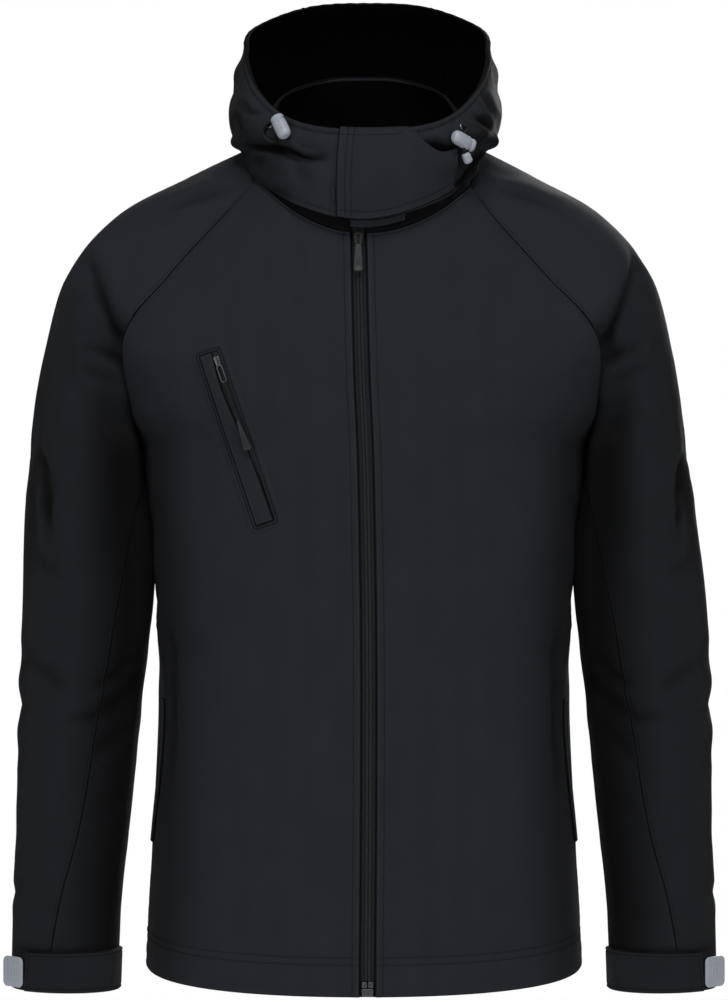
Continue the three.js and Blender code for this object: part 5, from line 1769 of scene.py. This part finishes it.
def through(points, count):
    """A smooth line through points, at even distances."""
    steps = np.linalg.norm(np.diff(points, axis=0), axis=1) ** 0.5
    places = np.concatenate([[0], np.cumsum(steps)])
    rows = {"at": places[:, None], "p": np.asarray(points, float)}
    fine = row(rows, np.linspace(0, places[-1], 400))["p"]
    run = lengths_of(fine, 0)
    return resampled(np.linspace(0, run[-1], count), run, fine)


def chest_teeth():
    along = np.linspace(0.12, 0.6, 52)
    edge = HALF_WELT - slit(along) * 0.35
    a, up = chest_surface(along, edge - 1.2, 1.35)
    b, _ = chest_surface(along, edge + 1.2, 1.35)
    return spindles([(a, b, up, np.full(len(along), 0.4))])


def zip_spot(at, lift):
    """A point at a height over the middle of the zip, and the way the zip faces there."""
    at = np.array(at)
    normal = zip_normal(at, zip_x(at))
    return zip_point(at, zip_x(at)) + normal * lift, normal


BEAD = [
    (-5, 0.4), (-5, 2.4), (-4.7, 3), (-3.8, 3.7), (-2.6, 3.9), (1.6, 3.9), (2.8, 3.8), (3.8, 3.3),
    (4.4, 2.6), (4.4, 0.4),
]
BEAD_PLACE = {"turn": 137, "at": (11.9, 9.2, -1)}


def bead():
    """The bead on the end of the left cord, in the frame of its lock."""
    points, faces = lathe(BEAD, 32)
    a = math.radians(BEAD_PLACE["turn"])
    x, y, z = points.T
    turned = np.stack([x * math.cos(a) - y * math.sin(a), x * math.sin(a) + y * math.cos(a), z], -1)
    return turned + np.array(BEAD_PLACE["at"]), faces


# Put the pieces together
NAMES = {1: "left", -1: "right"}
fronts = {side: front_panel(side) for side in NAMES}
back = back_panel()
uppers = {side: upper_sleeve(side) for side in NAMES}
unders = {side: under_sleeve(side) for side in NAMES}
tabs = {side: cuff_tab(side) for side in NAMES}
welts = {side: hand_welt(side) for side in NAMES}
stand = collar()
hood = {side: hood_side(side) for side in NAMES}
crown = hood_centre()
tab = chin_tab()
# Thickness of the pieces that are thinner than the cloth with its lining
THIN = {"welt": 1.8, "chin": 2.2, "patch": 0.8, "tape": 0.9}


def body_and_sleeves():
    for side, name in NAMES.items():
        cloth(f"front_panel_{name}", f"front_{name}", fronts[side])
        cloth(f"sleeve_upper_{name}", f"upper_sleeve_{name}", uppers[side])
        cloth(f"sleeve_under_{name}", f"under_sleeve_{name}", unders[side])
    cloth("back_panel", "back", back)
    for side, name in NAMES.items():
        cloth(
            f"cuff_strap_{name}", f"cuff_tab_{name}", tabs[side],
            CUFF_TAB["thick"], False,
        )
        cloth(
            f"pocket_welt_{name}", f"hand_welt_{name}", welts[side],
            THIN["welt"], False,
        )


def collar_and_hood():
    cloth("stand_collar", "collar", stand)
    for side, name in NAMES.items():
        cloth(f"hood_panel_{name}", f"hood_side_{name}", hood[side])
    cloth("hood_panel_centre", "hood_centre", crown)
    cloth("chin_flap", "chin_tab", tab, THIN["chin"], False)
    cloth("chin_underlay", "chin_underlap", chin_underlap())
    obj = shell("bare_label", label_tab(), THIN["patch"], [TAPE])
    dress(obj, "label_tab")


def chest_pocket():
    cloth(
        "chest_pocket_welt", "chest_welt", chest_welt(),
        THIN["welt"], False,
    )
    obj = shell("chest_pocket_frame", chest_frame(), THIN["patch"], [SOFTSHELL])
    dress(obj, None)
    inner, outer = lambda a: HALF_WELT - slit(a) * 0.96, lambda a: HALF_WELT + 0 * a
    obj = shell(
        "chest_pocket_zip_tape", chest_strip(0.005, 0.66, inner, outer, 1.2), THIN["patch"], [TAPE]
    )
    dress(obj, "chest_zip")


def main_tapes():
    for side, name in NAMES.items():
        tape = zip_tape(side)
        obj = shell(f"tape_{name}", tape, THIN["tape"], [TAPE])
        dress(obj, f"zip_tape_{name}")
        width, length = (round(v) * MM for v in tape.size)


def teeth(name, shape, replaced):
    points, faces = shape
    dress(add_mesh(name, points, faces, [COIL]), replaced)


def main_hardware():
    spot, facing = zip_spot(SLIDER_AT, -0.1)
    on_zip = lambda p: set_on(p, spot, facing)
    hard("slider_body", zip_slider(), on_zip, BLACKED, "zip_slider")
    foot, level = zip_spot(0.0165, -2.2)[0], zip_spot(0, 0)[1]
    hard("zip_foot_box", zip_box(), lambda p: set_on(p, foot, level), STEEL, "zip_box")
    pin, leaning = zip_spot(1.985, 4.6)[0], zip_spot(1.92, 0)[1]
    on_pin = lambda p: set_on(p, pin, leaning)
    link, handle = zip_pull()
    hard("pull_tab", handle, on_pin, HARDWARE, "zip_pull", "zip_pull")
    hard("pull_link", link, on_pin, HARDWARE, None, "zip_pull")


def chest_hardware():
    spot, facing = chest_surface(0.06, 5.6, 1.5)
    on_chest = lambda p: set_on(p, spot, facing, CHEST["turn"])
    hard("chest_slider_body", chest_slider(), on_chest, STEEL, "chest_slider")
    pin, leaning = chest_surface(0.09, 6, 4.6)[0], chest_surface(0.2, 6, 0)[1]
    on_pin = lambda p: set_on(p, pin, leaning, CHEST["turn"])
    ring, strings, grip = chest_pull()
    hard("chest_pull_ring", ring, on_pin, STEEL, "chest_pull", "chest_pull")
    hard("chest_pull_strings", strings, on_pin, CORD, None, "chest_pull")
    hard("chest_pull_grip", grip, on_pin, RUBBER, None, "chest_pull")


def cuff_and_hood_hardware():
    for side, name in NAMES.items():
        part, spot, facing = cuff_end(side)
        on_cuff = lambda p: set_on(p, spot, facing)
        hard(f"cuff_grip_{name}", part, on_cuff, GREY, f"cuff_end_{name}")
        where = EYELETS[name]
        on_eyelet = lambda p: set_on(p, on_hood(where, 0.3), hood_facing(where))
        hard(f"eyelet_ring_{name}", eyelet(), on_eyelet, STEEL, f"eyelet_{name}")
        in_lock = lambda p: on_lock(name, p)
        hard(f"cord_stop_{name}", cord_lock(), in_lock, GREY, f"cord_lock_{name}")
    hard("cord_bead", bead(), lambda p: on_lock("left", p), GREY, "cord_bead_left")


def elastic(name, replaced):
    route = through(cord_line(name), 60)
    points, faces = tube(route, CORD_WIDTH / 2, 14, up=(0.3, 0.2, 1))
    obj = dress(add_mesh(f"elastic_{name}", points, faces, [CORD]), replaced)
    long = lengths_of(route, 0)[-1] * MM


body_and_sleeves()
collar_and_hood()
chest_pocket()
main_tapes()
teeth("zip_teeth", zip_teeth(), "zip_coil")
teeth("chest_zip_teeth", chest_teeth(), None)
main_hardware()
chest_hardware()
cuff_and_hood_hardware()
elastic("left", ["cord_left", "cord_end_left"])
elastic("right", ["cord_right"])


# Sewing
def sew_rows(panel, rows, stitch, keep=None):
    """Rows of stitches on a panel: the edge beside each, and how far it lies from that edge."""
    for edge, distance in rows:
        sew(panel.line(edge, distance, keep), **stitch)


def sew_fronts():
    for panel in fronts.values():
        sew_rows(panel, [("end", ROW["seam"])], USUAL, panel.at[:, 0] > 1)
        rows = [("start", ROW["zip"]), *(("first", place) for place in HEM_ROWS), ("last", ROW["neck"])]
        sew_rows(panel, rows, USUAL)
    stitching("sewing_fronts")


def sew_back():
    sew_rows(back, [("start", ROW["seam"]), ("end", ROW["seam"])], USUAL, back.at[:, 0] > 1)
    sew_rows(back, [*(("first", place) for place in HEM_ROWS), ("last", ROW["neck"])], USUAL)
    stitching("sewing_back")


def sew_sleeves():
    on_upper = (("start", "seam"), ("end", "seam"), ("first", "neck"), ("last", "cuff"))
    on_tab = (("first", "strap"), ("last", "strap"), ("end", "strap"), ("start", "patch"))
    for side, name in NAMES.items():
        sew_rows(uppers[side], [(edge, ROW[kind]) for edge, kind in on_upper], USUAL)
        sew_rows(unders[side], [("last", ROW["cuff"])], USUAL)
        sew_rows(tabs[side], [(edge, ROW[kind]) for edge, kind in on_tab], FINE)
        stitching(f"sewing_sleeve_{name}")


def sew_hood():
    rim, loose, seam = ("last", ROW["rim"]), ("first", ROW["loose"]), ROW["seam"]
    for panel in hood.values():
        sew_rows(panel, [rim, loose, ("end", seam)], USUAL)
    sew_rows(crown, [rim, loose, ("start", seam), ("end", seam)], USUAL)
    for edge, distance in CHIN_ROWS:
        keep = tab.across[0] < 0.5 if edge == "last" else None
        sew_rows(tab, [(edge, distance)], FINE, keep)
    sew_rows(stand, [("last", ROW["collar"])], USUAL)
    stitching("sewing_hood")


def sew_pockets():
    """The row in the groove of the chest pocket's frame, and those on the hand pockets."""
    out, beyond = HALF_WELT + FRAME["row"], FRAME["row"] / CHEST_LONG
    for across in (-out, out):
        along = np.linspace(-beyond, 1 + beyond, 60)
        sew(chest_surface(along, across + 0 * along, FRAME["sewn"]), **FINE)
    for along in (-beyond, 1 + beyond):
        across = np.linspace(-out, out, 14)
        sew(chest_surface(along + 0 * across, across, FRAME["sewn"]), **FINE)
    for welt in welts.values():
        sew_rows(welt, [("end", ROW["pocket"])], FINE)
    stitching("sewing_pockets")


sew_fronts()
sew_back()
sew_sleeves()
sew_hood()
sew_pockets()


# Stage and light
STAGE = {"radius": 2300, "low": -1150, "sides": 96}


def stage():
    sides, radius = STAGE["sides"], STAGE["radius"]
    turn = np.linspace(0, 2 * math.pi, sides, endpoint=False)
    level = np.full(sides, STAGE["low"])
    ring = np.stack([radius * np.cos(turn), radius * np.sin(turn), level], -1)
    white, _, _ = new_material("paper", (0.9, 0.9, 0.9), 0.9)
    floor = add_mesh("floor", ring, [tuple(range(sides))], [white], shade=False)


def area_light(name, place, target, size, power):
    data = bpy.data.lights.new(name, "AREA")
    data.shape = "RECTANGLE"
    data.size, data.size_y = size
    data.energy = power
    lamp = bpy.data.objects.new(name, data)
    lamp.location = place
    lamp.rotation_euler = (Vector(target) - Vector(place)).to_track_quat("-Z", "Y").to_euler()
    bpy.context.scene.collection.objects.link(lamp)


def light():
    scene = bpy.context.scene
    scene.view_settings.view_transform = "Standard"
    world = bpy.data.worlds.new("studio")
    scene.world = world
    world.use_nodes = True
    tree = world.node_tree
    tree.nodes.clear()
    seen = node(tree, "ShaderNodeBackground", {"Color": (1, 1, 1, 1), "Strength": 1.0})
    around = node(tree, "ShaderNodeBackground", {"Color": (0.95, 0.97, 1, 1), "Strength": 0.14})
    path = node(tree, "ShaderNodeLightPath")
    both = node(tree, "ShaderNodeMixShader")
    tree.links.new(path.outputs["Is Camera Ray"], both.inputs[0])
    tree.links.new(around.outputs[0], both.inputs[1])
    tree.links.new(seen.outputs[0], both.inputs[2])
    out = node(tree, "ShaderNodeOutputWorld")
    tree.links.new(both.outputs[0], out.inputs["Surface"])
    area_light("key", (0, -2.1, 2.5), (0, 0, -0.3), (1.7, 1.2), 116)
    area_light("from_left", (-2.2, -2.6, -0.1), (0, 0, -0.35), (1.0, 2.0), 48)
    area_light("from_right", (2.2, -2.6, -0.1), (0, 0, -0.35), (1.0, 2.0), 48)
    area_light("back", (0.6, 2.8, 0.9), (0, 0, -0.3), (1.6, 1.6), 120)


stage()
light()
